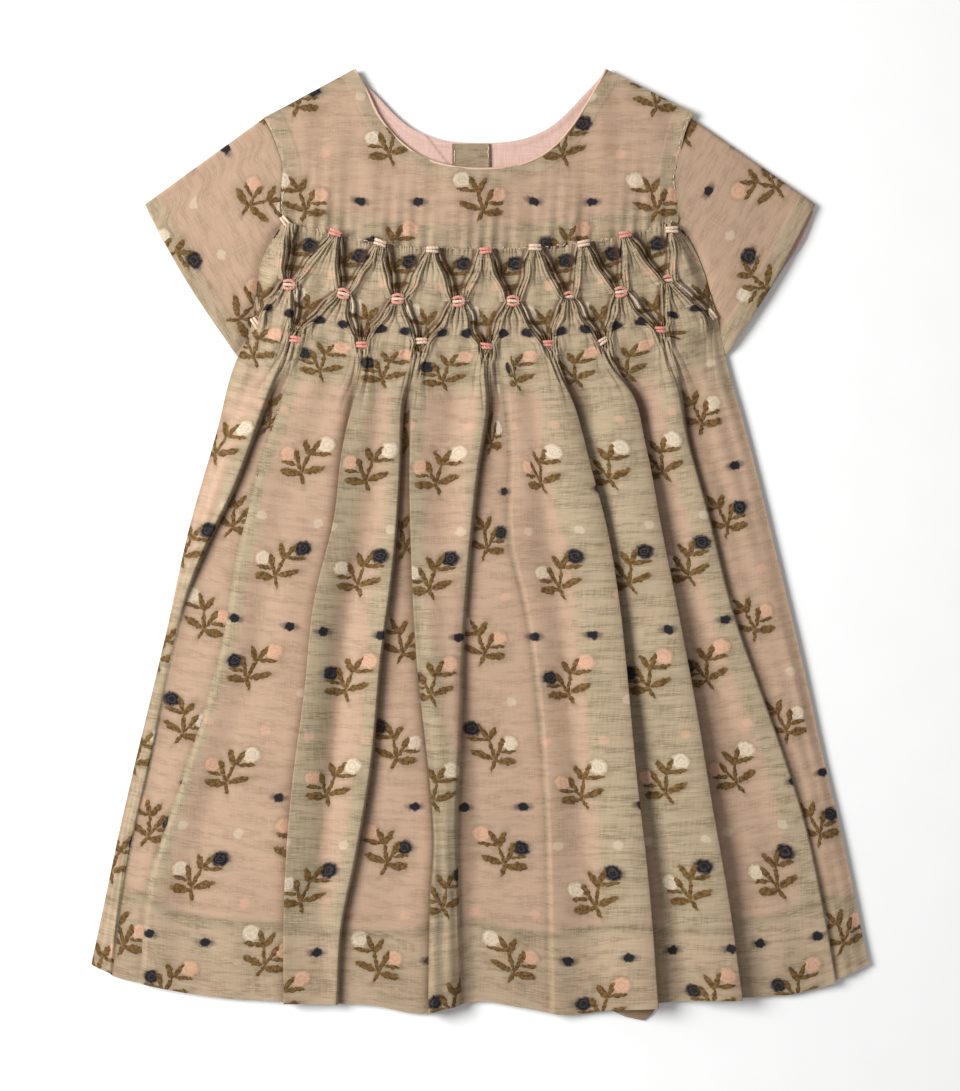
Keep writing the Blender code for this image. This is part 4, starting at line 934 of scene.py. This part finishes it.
def cloth_top(grid, x, y):
    """Height of a cloth's outer side under a place, in mm."""
    far = (grid[..., 0] - x) ** 2 + (grid[..., 1] - y) ** 2
    close = np.argpartition(far, 12, axis=None)[:12]
    return float(grid[..., 2].ravel()[close].max())


def as_mesh(piece):
    """Turns a piece and its modifiers into a plain mesh."""
    shown = piece.evaluated_get(bpy.context.evaluated_depsgraph_get())
    made = bpy.data.meshes.new_from_object(shown)
    piece.modifiers.clear()
    piece.data = made
    return piece


def sew(name, stitches, sizes):
    """One piece of bars of thread: x, y, z, turn, cream and bowed of each, with their sizes in mm."""
    table = np.array(stitches, float)
    mesh = bpy.data.meshes.new(name)
    mesh.from_pydata((table[:, :3] * MM).tolist(), [], [])
    give_values(mesh, zip(BAR_SAYS, table[:, 3:].T.copy()))
    piece = placed(name, mesh)
    sewing = piece.modifiers.new("thread", "NODES")
    sewing.node_group = bpy.data.node_groups["thread bars"]
    for item in sewing.node_group.interface.items_tree:
        if item.in_out == "INPUT" and item.name in sizes:
            sewing[item.identifier] = sizes[item.name] * MM
    as_mesh(piece)
    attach(piece, "root")


bars = []
for number, (x, y, turn, cream, like_eye) in enumerate(KNOTS):
    angle = math.radians(turn)
    top = cloth_top(outer, x, y) + 0.55
    for offset in (-0.75, 0.0, 0.75) if like_eye else (-0.5, 0.5):
        pupil = like_eye and offset == 0.0
        away_by = offset * BAR_APART
        flip = math.pi if offset < 0 else 0.0
        tilt = 0.10 * math.sin(number * 2.3 + offset)
        bars.append((
            x - math.sin(angle) * away_by, y + math.cos(angle) * away_by, top - 0.35 * pupil,
            angle + flip + tilt, bool(cream or pupil), bool(like_eye and not pupil)))
sew("smocking_knots", bars, KNOT_BAR)


# The bodice. The front yoke, in voile over its lining, is cut with a round neck. Behind it lie the back's
# pink cotton lining, the placket strip beside the back opening, and the outer back face down on the table.

LEFT_ARMHOLE = (
    (-97.0, 157.7), (-98.0, 166.0), (-97.5, 174.0), (-97.0, 187.0), (-98.5, 192.0), (-103.0, 203.5),
    (-106.0, 209.0),
)
RIGHT_ARMHOLE = ((97.5, 157.7), (97.0, 168.5), (96.0, 180.0), (98.0, 191.0), (100.5, 202.0), (104.5, 211.5))
LEFT_NECK_X, RIGHT_NECK_X = -61.5, 62.0
FRONT_NECKLINE = (
    (LEFT_NECK_X, SHOULDER_Y), (-55.5, 222.5), (-49.5, 210.0), (-39.0, 197.5), (-28.5, 190.0), (-17.5, 186.0),
    (0.0, 184.0), (19.0, 186.0), (30.0, 190.5), (39.0, 197.5), (45.5, 205.5), (53.0, 217.0),
    (RIGHT_NECK_X, SHOULDER_Y),
)
BACK_NECKLINE = (
    (LEFT_NECK_X, SHOULDER_Y), (-57.5, 227.5), (-49.5, 219.0), (-41.0, 210.0), (-34.0, 204.5), (-23.0, 199.5),
    (0.0, 197.0), (23.0, 199.5), (34.0, 204.5), (41.0, 210.0), (49.5, 219.0), (57.5, 227.5),
    (RIGHT_NECK_X, SHOULDER_Y),
)
SHOULDER_SHARE = 0.22
PLACKET = {"left": -13.5, "right": 5.0, "bottom": 158.0, "top": 196.4}
PLACKET_RISE, PLACKET_SLOPE = 1.4, 12.0
YOKE_COLUMN_X = -44.1  # an upright column of sprigs
YOKE_WARP = -58.7  # from the yoke's y to the cloth's warp place
LINING_PINK = ("#D6B6AA", "#CBA799")
LINING_SHADE_COLOUR = "#6E4A3C"
FACING_EDGE = ((-27.0, 201.5), (-20.0, 192.5), (-12.5, 183.0))  # edge of the facing beside the back opening


def along(points):
    """A smooth line through points, as a function of the share 0 to 1 of its length."""
    table = np.asarray(points, float)
    lengths = np.concatenate([[0.0], np.cumsum(np.linalg.norm(np.diff(table, axis=0), axis=1))])
    return smooth_curve(lengths / lengths[-1], table)


def coons(bottom, top, left, right, across, up):
    """Points inside four smooth edges, at the given shares across and up, with the top row first."""
    s = across[None, :, None]
    t = up[::-1, None, None]
    low, high_ = bottom(across)[None], top(across)[None]
    near_, far_ = left(up[::-1])[:, None], right(up[::-1])[:, None]
    corners = (1 - s) * (1 - t) * low[:, :1] + s * (1 - t) * low[:, -1:]
    corners = corners + (1 - s) * t * high_[:, :1] + s * t * high_[:, -1:]
    return (1 - t) * low + t * high_ + (1 - s) * near_ + s * far_ - corners


def armhole_line(armhole):
    """An armhole from the seam up to the shoulder, as a function of the share of its height."""
    edge_x = x_along(armhole)

    def at(share_up):
        y = armhole[0][1] + (armhole[-1][1] - armhole[0][1]) * share_up
        return np.stack([edge_x(y), y], axis=1)

    return at


def bodice_top(neckline):
    """Upper edge of the bodice as a function of the share across: left shoulder, neckline, right shoulder."""
    neck = along(neckline)
    left, right = np.array(LEFT_ARMHOLE[-1]), np.array(RIGHT_ARMHOLE[-1])

    def at(shares):
        points = []
        for s in shares:
            if s < SHOULDER_SHARE:
                points.append(left + (np.array(neckline[0]) - left) * s / SHOULDER_SHARE)
            elif s > 1 - SHOULDER_SHARE:
                points.append(right + (np.array(neckline[-1]) - right) * (1 - s) / SHOULDER_SHARE)
            else:
                points.append(neck((s - SHOULDER_SHARE) / (1 - 2 * SHOULDER_SHARE)))
        return np.array(points)

    return at


def distance_to(line, x, y):
    """Distance from each place to a line given as points."""
    far = np.full(x.shape, 1e9)
    for a, b in zip(line[:-1], line[1:]):
        along_x, along_y = b[0] - a[0], b[1] - a[1]
        t = np.clip(((x - a[0]) * along_x + (y - a[1]) * along_y) / (along_x ** 2 + along_y ** 2), 0.0, 1.0)
        far = np.minimum(far, np.hypot(x - a[0] - t * along_x, y - a[1] - t * along_y))
    return far


def bodice_flat(neckline, columns, tall):
    """Flat places of a bodice panel."""
    seam_x = np.linspace(LEFT_SIDE[0][0], RIGHT_SIDE[0][0], 121)
    uneven = 0.35 * ripple(seam_x, 0.0 * seam_x, 9.0, 26)
    seam = np.stack([seam_x, row_height(seam_x, SEAM_Y) + YOKE_EDGE_UP - 0.35 + uneven], axis=1)
    return coons(
        along(seam), bodice_top(neckline), armhole_line(LEFT_ARMHOLE), armhole_line(RIGHT_ARMHOLE),
        np.linspace(0, 1, columns), np.linspace(0, 1, tall))


yoke = bodice_flat(FRONT_NECKLINE, columns=400, tall=150)
x, y = yoke[..., 0], yoke[..., 1]
from_seam = y - row_height(x, SEAM_Y) - YOKE_EDGE_UP
from_arm = np.minimum(
    distance_to(armhole_line(LEFT_ARMHOLE)(np.linspace(0, 1, 20)), x, y),
    distance_to(armhole_line(RIGHT_ARMHOLE)(np.linspace(0, 1, 20)), x, y))
front_neck = along(FRONT_NECKLINE)(np.linspace(0, 1, 50))
from_neck = distance_to(front_neck, x, y)
from_shoulder = np.minimum(
    distance_to([LEFT_ARMHOLE[-1], FRONT_NECKLINE[0]], x, y),
    distance_to([RIGHT_ARMHOLE[-1], FRONT_NECKLINE[-1]], x, y))
placket_middle = (PLACKET["left"] + PLACKET["right"]) / 2
placket_half = (PLACKET["right"] - PLACKET["left"]) / 2
over_placket = 1.0 - ease((np.abs(x - placket_middle) - placket_half - 1.0) / PLACKET_SLOPE)
over_placket *= ease((y - PLACKET["bottom"] + 10.0) / 8.0)
under = FRONT_BASE + PLACKET_RISE * over_placket
puckered = 0.5 + 0.5 * ripple(x, y * 0.2, 16.0, 27)
pucker = pleated(x / 1.7 + 1.1 * ripple(x, y * 0.3, 11.0, 21)) * np.exp(-(from_seam / 2.2) ** 2) * puckered
gather = ripple(x, y * 0.10, 7.0, 22) * np.exp(-from_seam / 16.0)
relief = 0.65 * pucker + 0.95 * gather + 0.50 * ripple(x, y * 0.25, 15.0, 23) + 0.25
relief += 0.22 * (1.0 - ease((from_arm - 8.0) / 1.2)) + 0.22 * (1.0 - ease((from_neck - 6.5) / 1.2))
relief -= 0.25 * np.exp(-(from_arm / 0.9) ** 2)
relief += 0.25 * np.exp(-((from_arm - 1.8) / 1.0) ** 2) * ripple(x, y, 5.0, 24)
yoke_outer = np.dstack([x, y, under + CLOTH + np.clip(relief, -0.6, 2.0)])
yoke_inner = np.dstack([x, y, under])
border = 1.2 * ripple(x, y, 22.0, 25)
yoke_near = ease((from_seam - 10.0 + border) / 4.0) * ease((from_arm - 4.0 + border) / 7.0)
yoke_near *= ease((from_neck - 2.0 + border) / 8.0) * ease((from_shoulder - 2.0) / 5.0)
yoke_near = 0.15 + 0.80 * yoke_near
weft = x - 1.2 - YOKE_COLUMN_X + COLUMN + 0.075 * (y - 140.0) * ease((-60.0 - x) / 20.0)
from_upright = np.abs(weft % (2 * COLUMN) - COLUMN)
yoke_uv = np.dstack([weft, y + YOKE_WARP - 4.0 * ease((from_upright - 14.0) / 14.0)])
# Painted shade in the yoke's hollows and between its gathers, with a little all over
yoke_painted_shade = np.clip(0.07 + hollow_of(yoke_outer[..., 2], 4) + 0.15 * np.clip(-gather, 0.0, 1.0), 0.0, 1.0)
piece = cloth_wall("yoke", yoke_outer, yoke_inner, yoke_uv, yoke_near, yoke_painted_shade, weave=yoke[..., :2])
piece.data.materials.append(sprigged_voile)
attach(piece, "root")
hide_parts("front_yoke")

# Plain pink cotton: matt, with a fine even weave that is just seen, and darker where the mesh says: painted
# shade along the facing's edge and a faint line inside the back neck
lining_cotton, tree, shader = new_material("plain pink cotton")
uv = node(tree, "ShaderNodeUVMap", uv_map="cloth")
crossing = []
for stretch in ((120.0, 1400.0, 1.0), (1400.0, 120.0, 1.0)):
    drawn = node(tree, "ShaderNodeVectorMath", {0: uv, 1: stretch}, operation="MULTIPLY")
    crossing.append(node(tree, "ShaderNodeTexNoise", {"Vector": drawn, "Scale": 1.0, "Detail": 1.0}))
weave = node(tree, "ShaderNodeMath", {0: crossing[0], 1: crossing[1]}, operation="MULTIPLY")
tint = node(tree, "ShaderNodeMapRange", {"Value": weave, "From Min": 0.12, "From Max": 0.38})
pink = blend(tree, tint, linear(LINING_PINK[0]), linear(LINING_PINK[1]))
painted_shade = node(tree, "ShaderNodeAttribute", attribute_name="painted_shade")
tree.links.new(blend(tree, painted_shade.outputs["Fac"], pink, linear(LINING_SHADE_COLOUR)), shader.inputs["Base Color"])
bump = node(tree, "ShaderNodeBump", {"Height": weave, "Distance": 0.0003, "Strength": 0.5})
tree.links.new(bump.outputs[0], shader.inputs["Normal"])
shader.inputs["Roughness"].default_value = 0.85
shader.inputs["Specular IOR Level"].default_value = 0.25


def at_height(x, y, height):
    """Points at these places and at one height."""
    return np.dstack([x, y, np.full(x.shape, height)])


backs = bodice_flat(BACK_NECKLINE, columns=160, tall=70)
x, y = backs[..., 0], backs[..., 1]
from_back_neck = distance_to(along(BACK_NECKLINE)(np.linspace(0, 1, 50)), x, y)
roll = 0.30 * np.exp(-((from_back_neck - 1.2) / 1.0) ** 2)
inner_back = np.minimum(LINING_TOP + roll + 0.15 * ripple(x, y, 16.0, 31), FRONT_BASE - 0.05)
# Painted shade along the facing's edge, and a faint darker line just inside the back neck
facing_edge_shade = 0.45 * np.exp(-(distance_to(FACING_EDGE, x, y) / 0.55) ** 2)
facing_edge_shade += 0.12 * np.exp(-((from_back_neck - 3.0) / 0.6) ** 2)
piece = cloth_wall(
    "bodice_lining_cotton", np.dstack([x, y, inner_back]), at_height(x, y, LINING_BASE), np.dstack([x, y]),
    np.zeros_like(x), facing_edge_shade)
piece.data.materials.append(lining_cotton)
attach(piece, "root")
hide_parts("bodice_lining")

# The placket strip of the back opening, with the edge of its stitched side standing up a little
strip_x = np.linspace(PLACKET["left"], PLACKET["right"], 40)[None, :]
strip_y = np.linspace(PLACKET["top"], PLACKET["bottom"], 80)[:, None]
x, y = np.broadcast_arrays(strip_x, strip_y)
in_edge = np.minimum(x - PLACKET["left"], PLACKET["right"] - x)
strip_top = FRONT_BASE + 0.75 + 0.12 * ripple(x, y, 8.0, 41) + 0.18 * np.exp(-((in_edge - 0.9) / 0.5) ** 2)
strip = np.dstack([x, y, strip_top])
# Darker all over, with painted shade along its two edges
piece = cloth_wall(
    "placket_strip", strip, at_height(x, y, FRONT_BASE), np.dstack([x + 27.0, y - 143.0]), np.zeros_like(x),
    0.30 + 0.7 * np.exp(-(in_edge / 0.6) ** 2))
piece.data.materials.append(sprigged_voile)
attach(piece, "root")
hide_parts("back_placket")


# The back and the skirt lining. The outer back lies face down, its gathers pressed flat by the weight of the
# dress, and the tip of one fold of its hem shows below the front. The pink skirt lining hangs free inside and
# stops short of the hem.

BACK_HEM_SHORT = 1.5
BACK_HEM_PEEP = (
    (61.0, -226.0), (64.0, -228.5), (71.5, -232.0), (80.5, -233.8), (84.5, -230.5), (87.0, -224.0),
)


def back_hem(x):
    """Height of the back's hem at a place x."""
    peep = np.array(BACK_HEM_PEEP)
    out = (x > peep[0, 0]) & (x < peep[-1, 0])
    return np.where(out, np.interp(x, peep[:, 0], peep[:, 1]), front_hem(x) + BACK_HEM_SHORT)


def skirt_flat(hem, top, inset, columns, tall, low_y):
    """Flat places of a skirt panel between its sides, its upper edge and its hem, top row first."""
    t = np.linspace(1.0, 0.0, tall)[:, None]
    share_across = np.linspace(0.0, 1.0, columns)[None, :]
    y = low_y + (SEAM_Y + SEAM_LIFT - 1.0 - low_y) * t
    for _ in range(2):
        x = (left_side(y) + inset) * (1 - share_across) + (right_side(y) - inset) * share_across
        y = hem(x) * (1 - t) + top(x) * t
    return x, y


x, y = skirt_flat(
    back_hem, lambda x: row_height(x, SEAM_Y) - 0.15, inset=0.3, columns=260, tall=150, low_y=-206.0)
fan = x * 100.0 / (130.0 - 0.25 * y)
gathers = pleated(fan / 3.1 + ripple(fan, y * 0.1, 20.0, 52) * 0.6)
gathers *= np.exp(-np.clip(140.0 - y, 0, None) / 14.0)
long_folds = pleated(fan / 17.0 + 0.5 * ripple(fan, y * 0.1, 30.0, 53))
pressed = 0.35 * (1.0 - gathers) + 0.45 * (1.0 - long_folds)
under_side = np.dstack([x, y, np.clip(pressed, 0.0, 0.8)])[:, ::-1]
# Painted shade that follows its pressed gathers and folds
piece = cloth_wall(
    "back_skirt_cloth", under_side, at_height(x, y, BACK_TOP)[:, ::-1], np.dstack([x, y])[:, ::-1],
    np.full(x.shape, 0.8), np.clip(pressed[:, ::-1] * 0.9, 0, 1))
piece.data.materials.append(sprigged_voile)
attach(piece, "root")
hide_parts("back_skirt")

# The outer back bodice, slit from its neck down beside the placket and puckered where it meets the skirt
x, y = backs[..., 0], backs[..., 1]
from_seam = y - row_height(x, SEAM_Y)
opening = np.exp(-((x - PLACKET["right"]) / 0.7) ** 2) * ease((y - PLACKET["bottom"]) / 3.0)
pucker = 0.25 * np.exp(-from_seam / 6.0) * pleated(x / 3.3)
pressed = 0.55 * opening + pucker + 0.12 + 0.12 * ripple(x, y, 20.0, 61)
under_side = np.dstack([x, y, np.clip(pressed, 0.0, 0.9)])[:, ::-1]
# Painted shade in the slit of the back opening
piece = cloth_wall(
    "back_bodice_cloth", under_side, at_height(x, y, BACK_TOP)[:, ::-1], np.dstack([x + 21.0, y])[:, ::-1],
    np.full(x.shape, 0.8), (0.9 * opening)[:, ::-1])
piece.data.materials.append(sprigged_voile)
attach(piece, "root")
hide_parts("back_bodice")

# The skirt lining, nearly flat
x, y = skirt_flat(
    y_along(LINING_HEM), lambda x: row_height(x, SEAM_Y) - 3.0, inset=SIDE_SLOPE + 1.0, columns=200, tall=120,
    low_y=-172.0)
swell = np.clip(0.10 * ripple(x, y * 0.2, 25.0, 71), -0.2, 0.2)
piece = cloth_wall(
    "skirt_lining_cotton", np.dstack([x, y, LINING_TOP + swell]), at_height(x, y, LINING_BASE),
    np.dstack([x, y]), np.zeros_like(x), np.zeros_like(x))
piece.data.materials.append(lining_cotton)
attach(piece, "root")
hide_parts("skirt_lining")


# The sleeves. Short cap sleeves of voile, each a flattened tube lying half under the smocked body, with a
# narrow turned cuff and a pink lining whose edge shows at the cuff.

CUFF_TIP = (164.5, 167.0)
SLEEVE_TOP_Y, UNDERARM_Y = 209.5, 90.0
SLEEVE_HEIGHT, SLEEVE_CROWN = 3.5, 1.2
SLEEVE_GAP, SLEEVE_TUCK = -0.2, 1.6  # at the armhole seam, and how far the rest lies under the body
CUFF_BOW = (1.7, -1.0)
CUFF_FOOT_SHARE = 0.03
SLEEVE_ROUND = 1.75  # how far the folded edges of a sleeve round out
SLEEVE_LINING = (1.25, 2.15)  # heights of the doubled lining between the sleeve's two layers
ALONG, ROUND_TOP, CAP = 90, 100, 6
TOP_EDGE_DRAWN = (5.9, 5.5)  # the cloth of the right sleeve is drawn outwards by this along its upper edge
# For each sleeve: body edges, side, a known place, that place's spot in the cloth, and the weft's direction
SLEEVES = (
    ("right_sleeve", LEFT_ARMHOLE, LEFT_SIDE, -1, (-106.5, 168.0), (42.5, 36.5), (0.497, -0.868)),
    ("left_sleeve", RIGHT_ARMHOLE, RIGHT_SIDE, 1, (134.7, 130.1), (42.5, -15.0), (0.484, 0.875)),
)


def outward_mesh(name, points, faces):
    """A smooth mesh of points in mm, with its faces turned outward."""
    mesh = bpy.data.meshes.new(name)
    mesh.from_pydata((points * MM).tolist(), [], faces)
    turned = bmesh.new()
    turned.from_mesh(mesh)
    bmesh.ops.recalc_face_normals(turned, faces=turned.faces)
    turned.to_mesh(mesh)
    turned.free()
    mesh.shade_smooth()
    return mesh


def round_edge(end, outwards, reach, first, last):
    """Points round a folded edge, from one height to another."""
    turn = np.pi * np.arange(1, CAP) / CAP
    spread_out = end + outwards * reach * np.sin(turn)[:, None]
    return np.column_stack([spread_out, (first + last) / 2 + (first - last) / 2 * np.cos(turn)])


def sleeve_ring(line, lid, wall):
    """A ring of a sleeve: over its top, round its lower edge, back underneath and round its upper edge."""
    up_out = (line[0] - line[1]) / np.linalg.norm(line[0] - line[1])
    foot_out = (line[-1] - line[-2]) / np.linalg.norm(line[-1] - line[-2])
    drawn = SLEEVE_ROUND * np.array([[1.0], [0.75], [0.5], [0.25]])
    base = line.copy()
    base[:4] -= up_out * drawn
    base[-4:] -= foot_out * drawn[::-1]
    reach = SLEEVE_ROUND - wall
    return np.concatenate([
        np.column_stack([base, lid - wall]), round_edge(base[-1], foot_out, reach, lid[-1] - wall, wall),
        np.column_stack([base[::-1], np.full(len(base), wall)]),
        round_edge(base[0], up_out, reach, wall, lid[0] - wall)])


for name, armhole, side_points, side, known, spot, weft_way in SLEEVES:
    upper_edge, lower_edge = x_along(armhole), x_along(side_points)
    arm_y = np.linspace(SLEEVE_TOP_Y, UNDERARM_Y, ROUND_TOP)
    under_body = ease((armhole[0][1] + 2.0 - arm_y) / 6.0)
    arm_x = np.where(arm_y > armhole[0][1], upper_edge(arm_y), lower_edge(arm_y))
    arm_x = arm_x + side * (SLEEVE_GAP - SLEEVE_TUCK * under_body)
    arm = np.stack([arm_x, arm_y], axis=1)
    tip = np.array((side * CUFF_TIP[0], CUFF_TIP[1]))
    cuff_foot = arm[-1] + (tip - arm[-1]) * CUFF_FOOT_SHARE
    cuff_middle = (tip + cuff_foot) / 2 + np.array([side * CUFF_BOW[0], CUFF_BOW[1]])
    cuff = along([tip, cuff_middle, cuff_foot])
    top_edge, foot_edge = along([arm[0], tip]), along([arm[-1], cuff_foot])
    s = np.linspace(0.0, 1.0, ALONG)[None, :, None]
    t = np.linspace(0.0, 1.0, ROUND_TOP)[:, None, None]
    corners = (1 - s) * (1 - t) * arm[0] + s * (1 - t) * tip + (1 - s) * t * arm[-1] + s * t * cuff_foot
    flat = top_edge(s[0, :, 0])[None] * (1 - t) + foot_edge(s[0, :, 0])[None] * t - corners
    flat = flat + arm[:, None] * (1 - s) + cuff(t[:, 0, 0])[:, None] * s
    x, y = flat[..., 0], flat[..., 1]
    from_cuff = distance_to(cuff(np.linspace(0, 1, 12)), x, y)
    from_body = distance_to(arm[::6], x, y)
    crown = SLEEVE_CROWN * np.sin(np.linspace(0, np.pi, ROUND_TOP))[:, None]
    drawn_folds = ripple(x * 0.5 + y * 0.9, y * 0.3, 11.0, 82) * np.exp(-from_body / 14.0)
    soft = 0.35 * ripple(x, y, 26.0, 81) + 0.25 * drawn_folds
    cuff_step = 0.30 * (1.0 - ease((from_cuff - 8.5) / 1.0)) - 0.35 * np.exp(-(from_cuff / 0.8) ** 2)
    tucked_in = 2.2 * under_body[:, None] * np.exp(-(from_body / 4.0) ** 2)
    seam_dip = -0.15 * np.exp(-(from_body / 1.0) ** 2) - tucked_in
    lid = np.maximum(SLEEVE_HEIGHT + crown + soft + cuff_step + seam_dip, 2 * CLOTH + 0.25)
    walls = [
        np.array([sleeve_ring(flat[:, j], lid[:, j], wall) for j in range(ALONG)]) for wall in (0.0, CLOTH)]
    around = walls[0].shape[1]
    count = ALONG * around
    faces = []
    for i in range(ALONG):
        for j in range(around):
            a, b = i * around + j, i * around + (j + 1) % around
            if i < ALONG - 1:
                faces.append((a, b, b + around, a + around))
                faces.append((count + a, count + a + around, count + b + around, count + b))
            if i in (0, ALONG - 1):
                faces.append((a, b, count + b, count + a))
    mesh = outward_mesh(name, np.concatenate(walls).reshape(-1, 3), faces)

    # Its maps: sprigs along the weft's direction from one known spot, how near the lining is, and the painted
    # shade along the body's edge
    spots = walls[0].reshape(-1, 3)[:, :2]
    weft_dir = np.array(weft_way)
    warp_dir = np.array((-weft_dir[1], weft_dir[0]))
    relative = spots - np.array(known)
    if side < 0:
        drawn_out = ease((15.0 - distance_to([arm[0], tip], spots[:, 0], spots[:, 1])) / 8.0)
        relative -= drawn_out[:, None] * np.array(TOP_EDGE_DRAWN)
    cloth_uv = np.stack([relative @ weft_dir + spot[0], relative @ warp_dir + spot[1]], axis=1)
    cloth_uv = np.concatenate([cloth_uv, cloth_uv])
    give_maps(mesh, (("cloth", cloth_uv), ("weave", cloth_uv)))
    cuff_far = distance_to(cuff(np.linspace(0, 1, 12)), spots[:, 0], spots[:, 1])
    body_far = distance_to(arm[::6], spots[:, 0], spots[:, 1])
    nearness = (0.15 + 0.85 * ease((cuff_far - 7.0) / 3.0)) * (0.5 + 0.5 * ease(body_far / 3.0))
    # Painted shade: a little all over, and more where the sleeve runs under the body
    shade = 0.08 + 0.30 * np.exp(-(body_far / 1.0) ** 2)
    give_values(mesh, (("near", np.tile(nearness, 2)), ("painted_shade", np.tile(shade, 2))))
    mesh.materials.append(sprigged_voile)
    piece = placed(name + "_cloth", mesh)
    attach(piece, "root")
    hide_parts(name)

    # The lining inside, one doubled layer that reaches a little past the cuff
    inner_s = np.linspace(0.06, 1.0, 50)
    pick = np.linspace(4, ROUND_TOP - 5, 40).astype(int)
    longest = 2.0 if side > 0 else 0.3
    longer = 1.0 + (0.2 + longest * np.exp(-((pick / ROUND_TOP - 0.22) / 0.16) ** 2)) / 60.0
    position = longer[:, None] * inner_s * (ALONG - 1)
    column = np.clip(position.astype(int), 0, ALONG - 2)
    part = (position - column)[..., None]
    lined = flat[pick[:, None], column] * (1 - part) + flat[pick[:, None], column + 1] * part
    if side < 0:
        lined = lined[:, ::-1]
    x, y = lined[..., 0], lined[..., 1]
    piece = cloth_wall(
        name + "_lining", at_height(x, y, SLEEVE_LINING[1]), at_height(x, y, SLEEVE_LINING[0]), lined,
        np.zeros_like(x), np.zeros_like(x))
    piece.data.materials.append(lining_cotton)
    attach(piece, "root")


# The sewing. A rolled edge of lining finishes the neck. Small pale stitches, a little uneven, hold the yoke
# to the smocked skirt, the sleeves to the armholes and the placket strip to the lining.


def tube_along(name, points, radius, sides=8):
    """A round cord through points, closed at both ends."""
    points = np.asarray(points, float)
    forward = np.gradient(points, axis=0)
    forward /= np.linalg.norm(forward, axis=1, keepdims=True)
    sideways = np.stack([-forward[:, 1], forward[:, 0], 0 * forward[:, 0]], axis=1)
    sideways /= np.linalg.norm(sideways, axis=1, keepdims=True)
    upwards = np.cross(forward, sideways)
    angles = np.linspace(0, 2 * np.pi, sides, endpoint=False)
    across_, up_ = np.cos(angles)[None, :, None], np.sin(angles)[None, :, None]
    rings = points[:, None] + radius * (across_ * sideways[:, None] + up_ * upwards[:, None])
    faces = [tuple(range(sides))[::-1], tuple((len(points) - 1) * sides + k for k in range(sides))]
    for i in range(len(points) - 1):
        for k in range(sides):
            a, b = i * sides + k, i * sides + (k + 1) % sides
            faces.append((a, b, b + sides, a + sides))
    mesh = outward_mesh(name, rings.reshape(-1, 3), faces)
    length = np.concatenate([[0], np.cumsum(np.linalg.norm(np.diff(points, axis=0), axis=1))])
    uv = np.stack([np.repeat(length, sides), np.tile(angles * radius, len(points))], axis=1)
    give_maps(mesh, (("cloth", uv),))
    return placed(name, mesh)


neck_x, neck_y = front_neck[:, 0], front_neck[:, 1]
on_placket = 1.0 - ease((np.abs(neck_x - placket_middle) - placket_half - 1.0) / PLACKET_SLOPE)
roll_height = FRONT_BASE + CLOTH + 0.1 + PLACKET_RISE * on_placket
neck_roll = tube_along("neck_roll", np.stack([neck_x, neck_y - 0.1, roll_height], axis=1), 0.62)

# Rolled cotton: the lining's pink, wound tight, so a fine mottle runs along it
rolled, tree, shader = new_material("rolled neck edge")
uv = node(tree, "ShaderNodeUVMap", uv_map="cloth")
wound = node(tree, "ShaderNodeTexNoise", {"Vector": uv, "Scale": 900.0})
tree.links.new(blend(tree, wound, linear("#DCBFAA"), linear("#C7A28C")), shader.inputs["Base Color"])
shader.inputs["Roughness"].default_value = 0.85
neck_roll.data.materials.append(rolled)
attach(neck_roll, "root")

# The seam stitches: some lie hidden in the cloth, and the rest lean as an uneven hand leaves them
STITCH = {"Reach": 0.8, "Thickness": 0.22, "Rise": 0.18, "Bow": 0.3}
HIDDEN_SHARE = 0.40
uneven_hand = np.random.default_rng(17)
seam_run = np.linspace(-94.0, 96.0, 200)
yoke_seam = np.stack([seam_run, row_height(seam_run, SEAM_Y) + YOKE_EDGE_UP + 0.1], axis=1)
# Each line of stitches: its path, the cloth under it, mm from stitch to stitch, and how far they lean
stitch_lines = [(yoke_seam, yoke_outer, 2.7, 0.9)]
for armhole, inwards in ((LEFT_ARMHOLE, 1.1), (RIGHT_ARMHOLE, -1.1)):
    arm_seam = armhole_line(armhole)(np.linspace(0.02, 0.97, 80)) + (inwards, 0.0)
    stitch_lines.append((arm_seam, yoke_outer, 2.5, 0.35))
for edge_x in (PLACKET["left"] + 0.9, PLACKET["right"] - 0.9):
    run = np.linspace(PLACKET["top"] - 1.0, 187.0, 20)
    stitch_lines.append((np.stack([0.0 * run + edge_x, run], axis=1), strip, 1.9, 0.1))
stitches = []
for path, grid, spacing, across_turn in stitch_lines:
    line = along(path)
    length = float(np.linalg.norm(np.diff(path, axis=0), axis=1).sum())
    for place in np.arange(spacing / 2, length, spacing):
        if uneven_hand.uniform() < HIDDEN_SHARE:
            continue
        at, ahead = line(np.array([place, place + 0.5]) / length)
        direction = math.atan2(ahead[1] - at[1], ahead[0] - at[0])
        direction += across_turn * uneven_hand.uniform(-1.0, 1.0)
        x, y = at + uneven_hand.uniform(-0.3, 0.3, 2)
        stitches.append((x, y, cloth_top(grid, x, y) + 0.05, direction, 1.0, 0.0))
sew("seam_stitches", stitches, STITCH)
